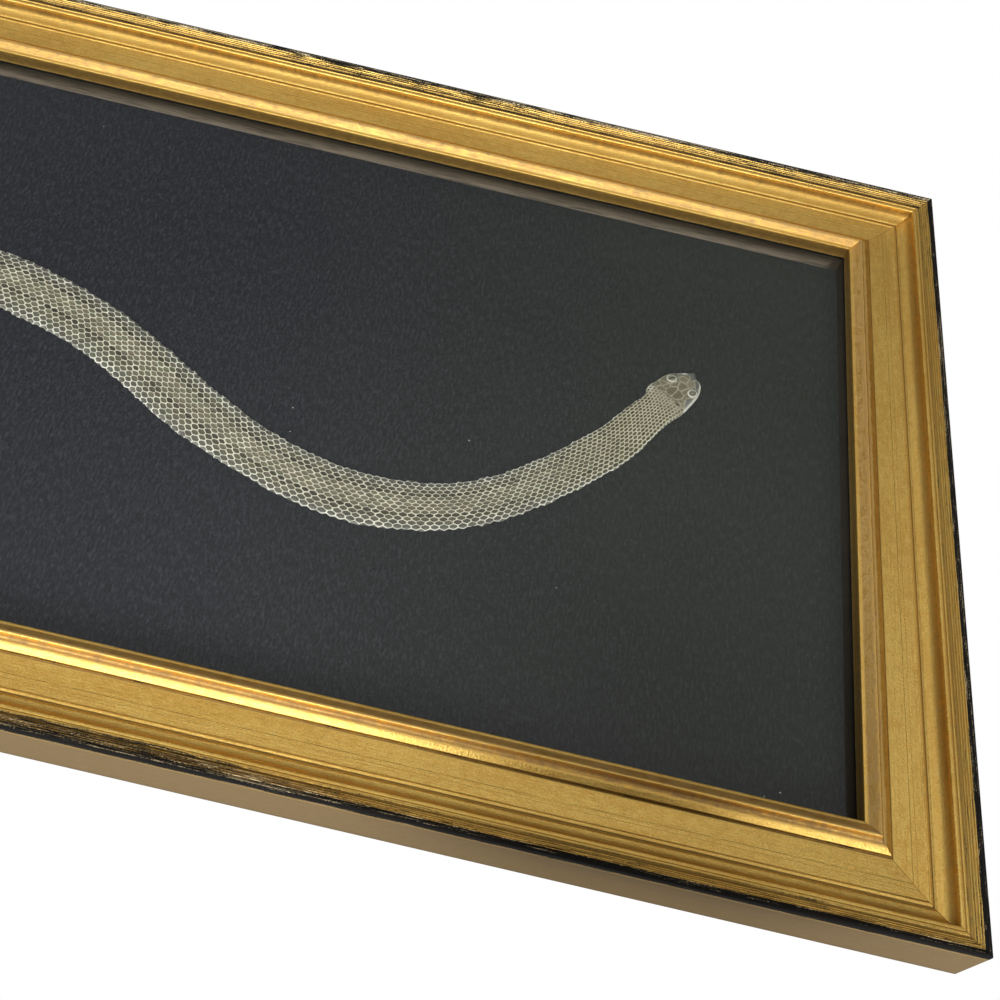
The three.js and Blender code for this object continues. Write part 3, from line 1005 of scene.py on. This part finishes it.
def scale_lattice():
    """The scales as a net of six-sided cells, staggered like bricks.

    Each cell has twelve points round its outline, shared with its neighbours, twelve
    round its clear field and one in the middle. Behind the head the field is a squared-off
    oval, |x/a|^p + |y/b|^p = 1, and further back it fills most of its cell. The spots are
    in that order, each with its kind: 0 on the outline, 1 round the field, 2 the middle.
    """
    rows_each_side = bpy.context.scene.shed_skin.rows // 2
    place_table, column_table = column_places()
    columns = np.arange(int(column_table[-1] - 1.5))
    rows = np.arange(-rows_each_side, rows_each_side + 1)
    row, column = (grid.ravel() for grid in np.meshgrid(rows, columns, indexing="ij"))
    count = len(row)
    centre = np.stack([4 * column + 2 + 2 * (row % 2), 4 * row], -1)
    outline = (centre[:, None, :] + SCALE_OUTLINE).reshape(-1, 2)
    keys, shared = np.unique(outline, axis=0, return_inverse=True)
    shared = shared.reshape(-1, 12)

    draw = np.random.default_rng(11)
    net = keys / 4.0 + draw.normal(0, 0.022, keys.shape)
    middle = centre / 4.0 + draw.normal(0, 0.02, centre.shape)
    place = np.interp(middle[:, 0], column_table, place_table)
    size = 1 + draw.normal(0, 0.05, (count, 1))
    a = through(FIELD_LENGTH, place)[:, None] * size
    b = through(FIELD_HEIGHT, place)[:, None] * size
    ray = SCALE_OUTLINE / 4.0
    power = 1.8
    oval = (abs(ray[:, 0] / a) ** power + abs(ray[:, 1] / b) ** power) ** (-1 / power)
    angular = smoothstep(place, 40, 220)[:, None]
    reach = oval + (CORNER_SHARE * size - oval) * angular
    reach *= 1 + draw.normal(0, 0.025, reach.shape)
    field = middle[:, None, :] + ray * np.clip(reach, 0.3, 0.92)[..., None]

    spots = np.concatenate([net, field.reshape(-1, 2), middle])
    kind = np.repeat([0, 1, 2], [len(net), 12 * count, count])
    field_index = len(net) + np.arange(12 * count).reshape(-1, 12)
    middle_index = np.repeat(len(net) + 12 * count + np.arange(count), 12).reshape(-1, 12)
    next_net, next_field = np.roll(shared, -1, 1), np.roll(field_index, -1, 1)
    quads = np.stack([shared, field_index, next_field, next_net], -1).reshape(-1, 4)
    fans = np.stack([field_index, middle_index, next_field], -1).reshape(-1, 3)
    return spots, kind, keys, row, quads, fans


def field_colours(row, place, share):
    """The clear field's colour of every scale, by its row and its place."""
    settings = bpy.context.scene.shed_skin
    count = len(row)
    draw = np.random.default_rng(12)
    on_back = np.exp(-((row / 2.6) ** 2)) * smoothstep(place, 60, 260)
    colour = toward(np.array(settings.field), settings.back_field, on_back)
    colour = toward(colour, settings.edge_field, smoothstep(abs(share), 0.45, 0.95))
    colour = toward(colour, settings.neck_field, 0.85 * (1 - smoothstep(place, 60, 170)))
    small = bpy.context.scene.shed_head.small_shield
    colour = toward(colour, small, 1 - smoothstep(place, 31, 43))
    stripe = (abs(row) == STRIPE_ROW) * smoothstep(place, 60, 240)
    stripe = stripe * np.clip(draw.normal(0.85, 0.2, count), 0.2, 1)
    beside = (abs(row) == STRIPE_ROW + 1) * np.clip(draw.normal(0.3, 0.25, count), 0, 0.8)
    colour = toward(colour, settings.dark_field, np.maximum(stripe, beside))
    tone = np.exp(draw.normal(0, 0.13, (count, 1)))
    warm = 1 + draw.normal(0, 0.035, (count, 3))
    odd = (draw.uniform(0, 1, (count, 1)) < 0.02) * 0.5
    return np.clip(colour * tone * warm * (1 + odd), 0.01, 0.9)


def finish_skin(piece, field, net, rim, replaced=()):
    """Stores a skin piece's colours, closes its holes and gives it the skin's material."""
    alpha = np.ones((len(field), 1))
    store(piece, "field", np.hstack([field, alpha]))
    store(piece, "net", np.hstack([net, alpha]))
    store(piece, "rim", rim)
    close_holes(piece)
    return finish_piece(piece, bpy.data.materials["cast_skin"], replaced)


def make_body():
    """The body: a sleeve of netted scales closed by a plated belly underneath."""
    settings, head = bpy.context.scene.shed_skin, bpy.context.scene.shed_head
    spots, kind, keys, row, quads, fans = scale_lattice()
    place_table, column_table = column_places()
    place = np.interp(spots[:, 0], column_table, place_table)
    off_spine = row_distance(spots[:, 1], place)
    draw = np.random.default_rng(13)
    ridge = settings.net_height / MM * (kind == 0)
    dome = settings.scale_height / MM * (kind == 2)
    raise_by = ridge + dome - 0.02 * (kind == 1) + draw.normal(0, 0.018, len(kind))
    points, share, over = lay_on_sleeve(place, off_spine, raise_by)

    # The belly joins the two jagged sides of the net underneath, in broad plates.
    edge_row = 4 * (settings.rows // 2)
    sides = []
    for sign in (1, -1):
        outer = np.nonzero(sign * keys[:, 1] > edge_row + 0.5)[0]
        sides.append(outer[np.argsort(keys[outer, 0])])
    upper, lower = sides
    at = (place[upper] + place[lower]) / 2
    girth = 2 * half_width(at, 1) + 2 * half_width(at, -1)
    gap = girth - off_spine[upper] + off_spine[lower]
    fractions = np.linspace(0, 1, BELLY_STEPS + 2)[1:-1]
    around = off_spine[upper][:, None] + fractions * gap[:, None]
    turned = np.where(around > girth[:, None] / 2, around - girth[:, None], around)
    plate = 0.5 - 0.5 * np.cos(2 * math.pi * np.interp(at, place_table, column_table))
    at, plate = (np.repeat(values[:, None], BELLY_STEPS, 1) for values in (at, plate))
    belly = lay_on_sleeve(at, turned, 0.4 * plate)[0].reshape(-1, 3)
    grid = len(points) + np.arange(len(belly)).reshape(-1, BELLY_STEPS)
    grid = np.concatenate([upper[:, None], grid, lower[:, None]], 1)
    plates = np.stack([grid[:-1, :-1], grid[:-1, 1:], grid[1:, 1:], grid[1:, :-1]], -1)
    quads = np.concatenate([quads, plates.reshape(-1, 4)])
    piece = mesh_object("skin_body", np.concatenate([points, belly]), quads, fans)

    net = toward(np.array(settings.net), settings.edge_net, smoothstep(abs(share), 0.5, 0.95))
    scales = field_colours(row, place[kind == 2], share[kind == 2])
    cells = np.concatenate([net[: len(keys)], np.repeat(scales, 12, 0), scales])
    net = toward(net, settings.neck_net, 1 - smoothstep(place, 50, 200))
    crease = smoothstep(abs(share), 0.90, 0.99) * (1 - over)
    net = toward(net, settings.crease, 0.8 * crease)
    cells = toward(cells, settings.crease, 0.25 * crease)
    net = toward(net, head.suture, 0.85 * (1 - smoothstep(place, 29, 46)))
    net = toward(net, head.ring, smoothstep(share, 0.62, 0.82) * band(place, *FLAP))
    pale = np.tile(np.array(settings.edge_net) * 0.8, (len(belly), 1))
    rim = np.concatenate([np.array([1.0, 0.6, 0.0])[kind], np.ones(len(belly))])
    cells, net = np.concatenate([cells, pale]), np.concatenate([net, pale])
    return finish_skin(piece, cells, net, rim, ("shed_skin",))


def skin_material():
    """Thin dry keratin: see-through fields in a pale net, silky and a little dusty."""
    material, tree = new_material("cast_skin")
    place = object_place(tree)
    fine = noise(tree, place, 1500.0, 3, 0.6)
    broad = noise(tree, place, 60.0, 4, 0.6)
    edge = plus(tree, read(tree, "rim"), swings(tree, (fine, 0.10)))
    is_net = ramp(tree, edge, 0.55, 0.72)
    colour = blend(tree, is_net, read(tree, "field", "Color"), read(tree, "net", "Color"))
    dust = plus(tree, mixture(tree, (broad, 0.35), (fine, 0.25)), 0.70)
    colour = blend(tree, 1.0, colour, grey(tree, dust), "MULTIPLY")
    rough = plus(tree, times(tree, is_net, 0.12), 0.44)
    normal = bump(tree, fine, 0.2, 0.05)
    surface(tree, Base_Color=colour, Roughness=rough, Specular_IOR_Level=0.45, Normal=normal)
    return material


# ---------------------------------------------------------------- the head

# Each tone's colour among the head's settings.
TONES = {
    "dark": "dark_shield", "brown": "shield", "pale": "pale_shield", "snout": "snout_shield",
    "clear": "clear_shield", "small": "small_shield", "flap": "ring",
}
# Large shields: (tone, (distance from the snout, distance off the middle) of each corner),
# in millimetres.
LARGE_SHIELDS = (
    ("dark", ((24.2, 5), (20.4, 4.4), (17, 1.3), (18.5, -0.1), (19.6, -0.4), (23.6, -0.8),
      (25.9, -0.3), (26.6, 2.7))),
    ("dark", ((22.4, -0.7), (19.3, -0.5), (18.3, -0.2), (17.9, -2.2), (18.7, -4.2), (19.4, -6.3),
      (22.4, -6), (25.6, -4), (26, -1))),
    ("brown", ((11.7, 2.7), (10.6, -1.9), (11.7, -3.9), (17.8, -2.2), (18.3, 0), (15.5, 1.6))),
    ("brown", ((11.9, -4.1), (11.8, -5), (14.8, -6), (19, -6.2), (18.6, -4.1), (17.8, -2.4))),
    ("brown", ((20, 5.4), (17.4, 5.5), (11.9, 3), (15.4, 1.8), (16.9, 1.4), (20.1, 4.5))),
    ("pale", ((10.4, 5.4), (5.9, 4.4), (5.4, 0), (9.8, -0.6), (11.5, 2.8))),
    ("pale", ((9.9, -0.8), (5.3, -0.3), (3.6, -3.2), (7.2, -5.8), (10.2, -5.6), (11.4, -3.9),
      (10.4, -1.9))),
    ("snout", ((9.9, 6), (7.6, 7.6), (2.6, 4.4), (2.4, 0.6), (5.2, 0.2), (5.7, 4.4))),
    ("clear", ((3.3, -3.4), (1.9, -3.2), (1.7, -5.6), (3.4, -7.8), (6.8, -9.6), (8.4, -7.6),
      (7, -6))),
    ("clear", ((15.2, -11.9), (15.6, -10.4), (19, -8.2), (20.6, -9), (22.6, -10.2), (26, -12.2),
      (27, -13.6), (20, -13.4))),
)
# Small shields: (distance from the snout, distance off the middle, half size, tone).
SMALL_SHIELDS = (
    (8, 9, 1.4, "clear"), (18.2, 10.8, 2, "small"), (21.7, 9.3, 2, "small"),
    (22.2, 6.8, 1.6, "small"), (24.7, 11.2, 1.8, "small"), (26.4, 7.4, 2.4, "snout"),
    (28.6, 11.2, 2, "small"), (30, 13.4, 1.4, "flap"), (28.2, 3.4, 1.6, "small"),
    (29.6, 6.4, 1.4, "small"), (28, -1.6, 1.8, "small"), (26.8, -5.6, 1.8, "small"),
    (23.4, -7.9, 1.5, "small"), (24.8, -10.4, 1.6, "pale"), (27.4, -8.4, 1.6, "small"),
    (28.9, -11.4, 1.8, "pale"), (30.8, -9, 1.5, "small"), (31.2, -13, 1.6, "pale"),
    (20.4, -7.6, 1, "small"), (12, -11.9, 1.5, "clear"), (30.6, 0.4, 1.5, "small"),
    (30.4, -4.4, 1.5, "small"), (32.6, 8.8, 1.4, "small"), (32.6, 3.4, 1.4, "small"),
    (32.8, -7, 1.4, "small"),
)
# Each eye cap: distance from the snout, distance off the middle, radius, half length and
# half thickness of its slit, and the slit's lean.
EYE_CAPS = ((14.2, 8.3, 3.45, 2.75, 0.50, 0.43), (12.8, -8.3, 3.2, 2.45, 1.15, 0.36))
EYE_RISE = 0.8
OPEN_SLIT = 0.8
# Points along and round the head.
HEAD_GRID = (170, 230)


def polygon_depth(place, across, corners):
    """How deep inside a many-sided outline a spot lies, less than nought outside it.

    It is the least distance to the sides, signed by how often a line from the spot
    crosses them.
    """
    start = np.array(corners, float)
    end = np.roll(start, -1, 0)
    spot = np.stack([place, across], -1)[..., None, :]
    side = end - start
    share = np.clip(((spot - start) * side).sum(-1) / (side**2).sum(-1), 0, 1)
    away = np.linalg.norm(spot - start - share[..., None] * side, axis=-1).min(-1)
    spans = (start[:, 1] > across[..., None]) != (end[:, 1] > across[..., None])
    rise = np.where(side[:, 1] == 0, 1e-9, side[:, 1])
    crossing = start[:, 0] + (across[..., None] - start[:, 1]) * side[:, 0] / rise
    inside = (spans & (place[..., None] < crossing)).sum(-1) % 2 == 1
    return np.where(inside, away, -away)


def head_pattern(place, across):
    """Each spot's shield and how far it is from that shield's edge.

    A spot in a large shield belongs to it. Elsewhere it belongs to the small shield
    whose distance less half size is least, and the edge distance is half the
    difference to the next best, or the distance to a large shield if that is less.
    """
    x, y, size = np.array([row[:3] for row in SMALL_SHIELDS]).T
    wobble = 0.30 * np.sin(place * 1.9 + across * 0.7) + 0.22 * np.sin(across * 2.3 - place)
    away = np.hypot(place[..., None] - x, (across + wobble)[..., None] - y) - size
    order = np.argsort(away, axis=-1)
    nearest, second = np.moveaxis(np.take_along_axis(away, order[..., :2], -1), -1, 0)
    which, inside = order[..., 0], (second - nearest) / 2
    for number, (_, corners) in enumerate(LARGE_SHIELDS, len(SMALL_SHIELDS)):
        depth = polygon_depth(place + 0.25 * wobble, across + 0.4 * wobble, corners)
        which = np.where(depth > 0, number, which)
        inside = np.where(depth > 0, depth, np.minimum(inside, abs(depth)))
    return which, inside


def eye_shapes(place, across):
    """Each spot's share of the way out over the nearest eye cap, its slit and any gap.

    The slit is 1 in a narrow lens, |x/a|^3 + |y/b|^2 below 1, along the cap. A slit
    thicker than OPEN_SLIT gapes, and the gap is 1 in the middle of its lens.
    """
    reach, slit, gap = 9.0, 0.0, 0.0
    for along, off, radius, length, thick, lean in EYE_CAPS:
        forward, sideways = place - along, across - off
        turned = forward * math.cos(lean) + sideways * math.sin(lean)
        outward = sideways * math.cos(lean) - forward * math.sin(lean)
        reach = np.minimum(reach, np.hypot(turned * 0.97, outward * 1.08) / radius)
        lens = abs(turned / length) ** 3 + (outward / thick) ** 2
        slit = np.maximum(slit, np.exp(-(lens**2)))
        if thick > OPEN_SLIT:
            gap = np.exp(-((lens / 0.42) ** 3))
    return reach, slit, gap


def make_head():
    """The head: a flattened sleeve on a fine grid, with raised shields and eye caps.

    Round the section the angle runs from one edge over the crown and back underneath.
    Side distance is the half width times a share s between the angle's cosine and an
    even spacing. Height is the crown times the root of 1 minus s squared, and shields,
    sutures, rings and slits are added to it. The snout's torn upper lip is pulled
    forward to a point.
    """
    settings = bpy.context.scene.shed_head
    along_count, around_count = HEAD_GRID
    place = HEAD_END * np.linspace(0.001, 1, along_count) ** 1.15
    angle = np.linspace(0, 2 * math.pi, around_count, endpoint=False)
    place, angle = np.meshgrid(place, angle, indexing="ij")
    cosine, sine = np.cos(angle), np.sin(angle)
    even = 1 - 2 * np.arcsin(np.clip(abs(sine), 0, 1)) / math.pi
    evened = np.sign(cosine) * (abs(cosine) * 0.35 + 0.65 * even)
    width = np.where(cosine > 0, through(LEFT_EDGE, place), through(RIGHT_EDGE, place))
    tuck = smoothstep(place, HEAD_END - 6, HEAD_END - 1)
    across = evened * (width - 1.2 * tuck)
    pulled = 2.9 * np.exp(-(((across - 0.7) / 1.9) ** 2)) * (1 - smoothstep(place, 0.2, 4.5))
    forward = place - pulled
    arch = np.sqrt(np.clip(1 - evened**2, 0, 1))
    crown = through(CROWN_HEIGHT, place)

    # The dry skin has slid back a little over the crown.
    slid, aside = forward - 0.95 * arch, across + 0.5 * arch
    which, inside = head_pattern(slid, aside)
    size = np.array([row[2] for row in SMALL_SHIELDS] + [2.5] * len(LARGE_SHIELDS))[which]
    plateau = 0.24 * smoothstep(inside, 0.1, 0.8) * np.clip(size / 2.5, 0.4, 1)
    reach, slit, gap = eye_shapes(slid, aside)
    cap = EYE_RISE * np.sqrt(np.clip(1 - reach**2, 0, 1))
    ring = np.exp(-(((reach - 0.88) / 0.15) ** 4))
    edge = width - abs(across)
    lip_width = np.where(across < 0, 0.85, 0.60)
    lip = np.exp(-(((edge - 0.45) / lip_width) ** 2)) * smoothstep(place, 0.5, 3)
    relief = np.where(reach < 1, cap - 0.25 * slit, plateau) + 0.30 * ring + 0.22 * lip
    relief = relief * (1 - tuck) - 0.30 * tuck

    rise = crown * arch * (1 - 0.15 * tuck) + relief * np.minimum(1, 2.5 * arch)
    sink = -RIM_THICKNESS * np.minimum(1, crown) * arch
    height = SKIN_BASE + RIM_THICKNESS + np.where(sine > 0, rise, sink)
    centre, ahead = path_at(np.maximum(forward, 0))
    centre = centre + np.minimum(forward, 0)[..., None] * ahead
    x = centre[..., 0] + ahead[..., 1] * across
    y = centre[..., 1] - ahead[..., 0] * across
    points = np.stack([x, y, height], -1).reshape(-1, 3)
    i, j, k = ring_grid(along_count, around_count)
    first, second = i * around_count, (i + 1) * around_count
    corners = np.stack([first + j, first + k, second + k, second + j], -1)
    piece = mesh_object("skin_head", points, corners.reshape(-1, 4))

    tones = [row[3] for row in SMALL_SHIELDS] + [tone for tone, _ in LARGE_SHIELDS]
    draw = np.random.default_rng(17)
    table = np.array([tuple(getattr(settings, TONES[tone])) for tone in tones])
    colour = (table * draw.uniform(0.92, 1.08, (len(tones), 1)))[which]
    colour = toward(colour, settings.suture, 0.95 * (1 - smoothstep(inside, 0.13, 0.40)))
    torn = (1 - smoothstep(forward, -0.2, 1.6)) * smoothstep(across, -2.5, -1.0)
    colour = toward(colour, shade(settings.clear_shield, 0.8), torn)
    lid = np.clip(1.25 - reach, 0, 1) * (reach < 1)
    colour = toward(colour, settings.lid, np.clip(1.6 * lid, 0, 1))
    pale = np.clip(ring + lip * (0.7 + 0.3 * (across < 0)), 0, 1)
    colour = toward(colour, settings.ring, pale)
    folded = np.exp(-(((forward - 3.1) / 1.8) ** 2) - ((across - 5.0) / 1.5) ** 2)
    folded = np.maximum(folded, 0.75 * lip * (across < 0))
    crease = shade(bpy.context.scene.shed_skin.crease, 0.85)
    colour = toward(colour, crease, 0.9 * folded)
    dark = np.clip(slit * 1.5, 0, 1) * (1 - gap) * (reach < 0.9)
    colour = toward(colour, settings.pupil, dark)
    colour = np.where((sine > 0)[..., None], colour, np.array(settings.small_shield))
    colour = np.clip(colour.reshape(-1, 3), 0.01, 0.9)
    return finish_skin(piece, colour, colour, np.zeros(len(colour)), ("shed_skin",))


# Loose flakes on the paper: (x, y, radius) in millimetres.
FLAKES = (
    (264.9, -17.4, 0.55), (267.2, -34.9, 0.45), (374.8, -11.5, 0.6), (573.9, -188.3, 0.65),
    (565.2, -192.5, 0.5), (81.9, 177.9, 0.4), (440.0, -97.8, 0.4),
)


def make_flakes():
    """Loose specks of skin: thin plates with seven uneven corners lying on the paper."""
    draw = np.random.default_rng(29)
    spots = np.array(FLAKES)
    count, corners = len(spots), 7
    turn = np.arange(corners) + draw.uniform(-0.3, 0.3, (count, corners))
    turn = turn * 2 * math.pi / corners
    reach = spots[:, 2:] * draw.uniform(0.6, 1.0, (count, corners))
    ring = spots[:, None, :2] + reach[..., None] * np.stack([np.cos(turn), 0.8 * np.sin(turn)], -1)
    low = board_high.z / MM + 0.02
    levels = [
        np.concatenate([ring, np.full((count, corners, 1), low + rise)], -1) for rise in (0.0, 0.13)
    ]
    points = np.stack(levels, 1).reshape(-1, 3)
    flake, j, k = ring_grid(count + 1, corners)
    first, second = 2 * corners * flake, 2 * corners * flake + corners
    quads = np.stack([first + j, first + k, second + k, second + j], -1)
    piece = mesh_object("skin_flakes", points, quads.reshape(-1, 4), smooth=False)
    pale = np.tile(np.array(bpy.context.scene.shed_skin.net) * 0.75, (len(points), 1))
    return finish_skin(piece, pale, pale, np.ones(len(points)))


# ---------------------------------------------------------------- operators


class SHED_OT_gilding(bpy.types.Operator):
    """Make the gilding"""

    bl_idname = "shed.gilding"
    bl_label = "Gilding"

    def execute(self, context):
        gilding_material()
        return {"FINISHED"}


class SHED_OT_rails(bpy.types.Operator):
    """Carve the four mitred rails"""

    bl_idname = "shed.rails"
    bl_label = "Rails"

    def execute(self, context):
        halves = (SIGHT_EDGE_X, SIGHT_EDGE_Y)
        for number, (name, rubbed_until, toned) in enumerate(RAIL_WEAR_AND_SHADE):
            turn, seed = number * math.pi / 2, 50 + 10 * number
            names = ("moulding_" + name, "rail_" + name)
            make_rail(*names, turn, *halves, seed, rubbed_until, toned)
            halves = halves[::-1]
        return {"FINISHED"}


class SHED_OT_inside(bpy.types.Operator):
    """Finish the glass, the spacer strips and the papered board"""

    bl_idname = "shed.inside"
    bl_label = "Glass, strips and board"

    def execute(self, context):
        dress_node("glass", glass_material())
        strips = strip_material()
        for side in ("top", "bottom", "left", "right"):
            dress_node("spacer_" + side, strips)
        dress_node("backing_board", board_material())
        return {"FINISHED"}


class SHED_OT_body(bpy.types.Operator):
    """Lay the skin's body"""

    bl_idname = "shed.body"
    bl_label = "Body"

    def execute(self, context):
        skin_material()
        make_body()
        return {"FINISHED"}


class SHED_OT_head(bpy.types.Operator):
    """Shape the skin's head"""

    bl_idname = "shed.head"
    bl_label = "Head"

    def execute(self, context):
        make_head()
        return {"FINISHED"}


class SHED_OT_flakes(bpy.types.Operator):
    """Scatter the loose flakes on the paper"""

    bl_idname = "shed.flakes"
    bl_label = "Flakes"

    def execute(self, context):
        make_flakes()
        return {"FINISHED"}


class SHED_OT_stage(bpy.types.Operator):
    """Set the floor, the lights and the camera"""

    bl_idname = "shed.stage"
    bl_label = "Stage"

    def execute(self, context):
        scene = context.scene
        scene.view_settings.view_transform = "Standard"
        lay_floor(scene.shed_stage)
        light_room(scene, scene.shed_stage)
        hang_flag()
        place_camera(scene)
        return {"FINISHED"}


def lay_floor(settings):
    """A plain pale floor just under the frame.

    It is lit to plain white where it is seen, and gives back half its light elsewhere.
    """
    half, drop = FLOOR_HALF, FLOOR_DROP
    corners = [(-half, -half, drop), (half, -half, drop), (half, half, drop), (-half, half, drop)]
    floor = mesh_object("floor", corners, [(0, 1, 2, 3)], smooth=False)
    material, tree = new_material("pale_floor")
    patch = noise(tree, object_place(tree), 3.0, 2)
    tone = blend(tree, patch, shade(settings.floor, 0.5), shade(settings.floor, 0.48))
    matt = put(tree, "ShaderNodeBsdfDiffuse", {"Color": tone})
    lit = put(tree, "ShaderNodeEmission", {"Color": WHITE, "Strength": 1.0})
    end_mixed(tree, light_ray(tree, "Is Camera Ray"), matt, lit)
    floor.data.materials.append(material)


def light_room(scene, settings):
    """A soft pale room and one large soft light.

    The room is dimmer towards the horizon and towards the head's end. Where it is seen
    it is plain white.
    """
    world = bpy.data.worlds.new("room")
    scene.world = world
    world.use_nodes = True
    tree = world.node_tree
    tree.nodes.clear()
    x, y, z = axes(tree, put(tree, "ShaderNodeTexCoord").outputs["Generated"])
    height = ramp(tree, z, 0.72, 0.93, settings.sky_low, settings.sky_high)
    sideways = ramp(tree, x, -0.45, 0.55, 1.12, 0.86)
    horizon = one_less(tree, ramp(tree, z, 0.26, 0.68))
    wall = times(tree, ramp(tree, y, 0.0, 0.4, 0.0, settings.wall), horizon)
    strength = times(tree, height, sideways, one_less(tree, wall))
    sky = put(tree, "ShaderNodeBackground", {"Color": WHITE, "Strength": strength})
    plain = put(tree, "ShaderNodeBackground", {"Color": WHITE, "Strength": 1.0})
    end_mixed(tree, light_ray(tree, "Is Camera Ray"), sky, plain, "ShaderNodeOutputWorld")
    data = bpy.data.lights.new("key", "AREA")
    data.shape = "RECTANGLE"
    data.size, data.size_y = settings.key_width, settings.key_height
    data.energy = settings.key_power
    key = bpy.data.objects.new("key", data)
    scene.collection.objects.link(key)
    key.location = KEY_PLACE
    key.rotation_euler = [math.radians(a) for a in KEY_TURN]


def hang_flag():
    """A dark upright card that shades half of the lower rail, unseen by the camera.

    It works on what lies close to it, and its edges are soft.
    """
    left, right, low, high, y = FLAG
    corners = [(left, y, low), (right, y, low), (right, y, high), (left, y, high)]
    flag = mesh_object("flag", corners, [(0, 1, 2, 3)])
    material, tree = new_material("flag_cloth")
    x, _, z = axes(tree, object_place(tree))
    soft = ramp(tree, light_ray(tree, "Ray Length"), 0.30, 0.42, 1.0, 0.0)
    edges = ((x, left, left + 50, 0), (x, right - 50, right, 1), (z, high - 80, high, 1))
    for place, start, end, fades in edges:
        soft = times(tree, soft, ramp(tree, place, start * MM, end * MM, fades, 1 - fades))
    cloth = put(tree, "ShaderNodeBsdfDiffuse", {"Color": (0.02, 0.02, 0.02, 1.0)})
    clear = put(tree, "ShaderNodeBsdfTransparent", {"Color": WHITE})
    end_mixed(tree, soft, clear, cloth)
    flag.data.materials.append(material)
    flag.visible_camera = False


def place_camera(scene):
    """The camera over the head end, looking down along the frame."""
    data = bpy.data.cameras.new("camera")
    data.lens = CAMERA_LENS
    data.sensor_width = CAMERA_SENSOR
    data.shift_x, data.shift_y = CAMERA_SHIFT
    data.clip_start, data.clip_end = 0.05, 50.0
    camera = bpy.data.objects.new("camera", data)
    scene.collection.objects.link(camera)
    camera.location = CAMERA_PLACE
    camera.rotation_euler = [math.radians(a) for a in CAMERA_TURN]
    scene.camera = camera


class SHED_PT_panel(bpy.types.Panel):
    """Lists the steps and settings"""

    bl_idname = "SHED_PT_panel"
    bl_label = "Shed skin"
    bl_space_type = "VIEW_3D"
    bl_region_type = "UI"
    bl_category = "Shed skin"

    def draw(self, context):
        layout = self.layout
        for operator in OPERATORS:
            layout.operator(operator.bl_idname)
        for name in SETTINGS:
            box = layout.box()
            group = getattr(context.scene, name)
            for key in group.__annotations__:
                box.prop(group, key)


SETTINGS = {
    "shed_gilding": GildingSettings,
    "shed_skin": SkinSettings,
    "shed_head": HeadSettings,
    "shed_paper": PaperSettings,
    "shed_stage": StageSettings,
}
OPERATORS = (
    SHED_OT_stage, SHED_OT_gilding, SHED_OT_rails, SHED_OT_inside, SHED_OT_body, SHED_OT_head,
    SHED_OT_flakes,
)


def register():
    """Registers the settings, the operators and the panel."""
    for name, group in SETTINGS.items():
        bpy.utils.register_class(group)
        setattr(bpy.types.Scene, name, bpy.props.PointerProperty(type=group))
    for operator in OPERATORS:
        bpy.utils.register_class(operator)
    bpy.utils.register_class(SHED_PT_panel)


def unregister():
    """Takes them all away again."""
    bpy.utils.unregister_class(SHED_PT_panel)
    for operator in reversed(OPERATORS):
        bpy.utils.unregister_class(operator)
    for name, group in SETTINGS.items():
        delattr(bpy.types.Scene, name)
        bpy.utils.unregister_class(group)


def main():
    """Builds the stage and every piece."""
    register()
    bpy.ops.shed.stage()
    bpy.ops.shed.gilding()
    bpy.ops.shed.rails()
    bpy.ops.shed.inside()
    bpy.ops.shed.body()
    bpy.ops.shed.head()
    bpy.ops.shed.flakes()


if __name__ == "__main__":
    main()
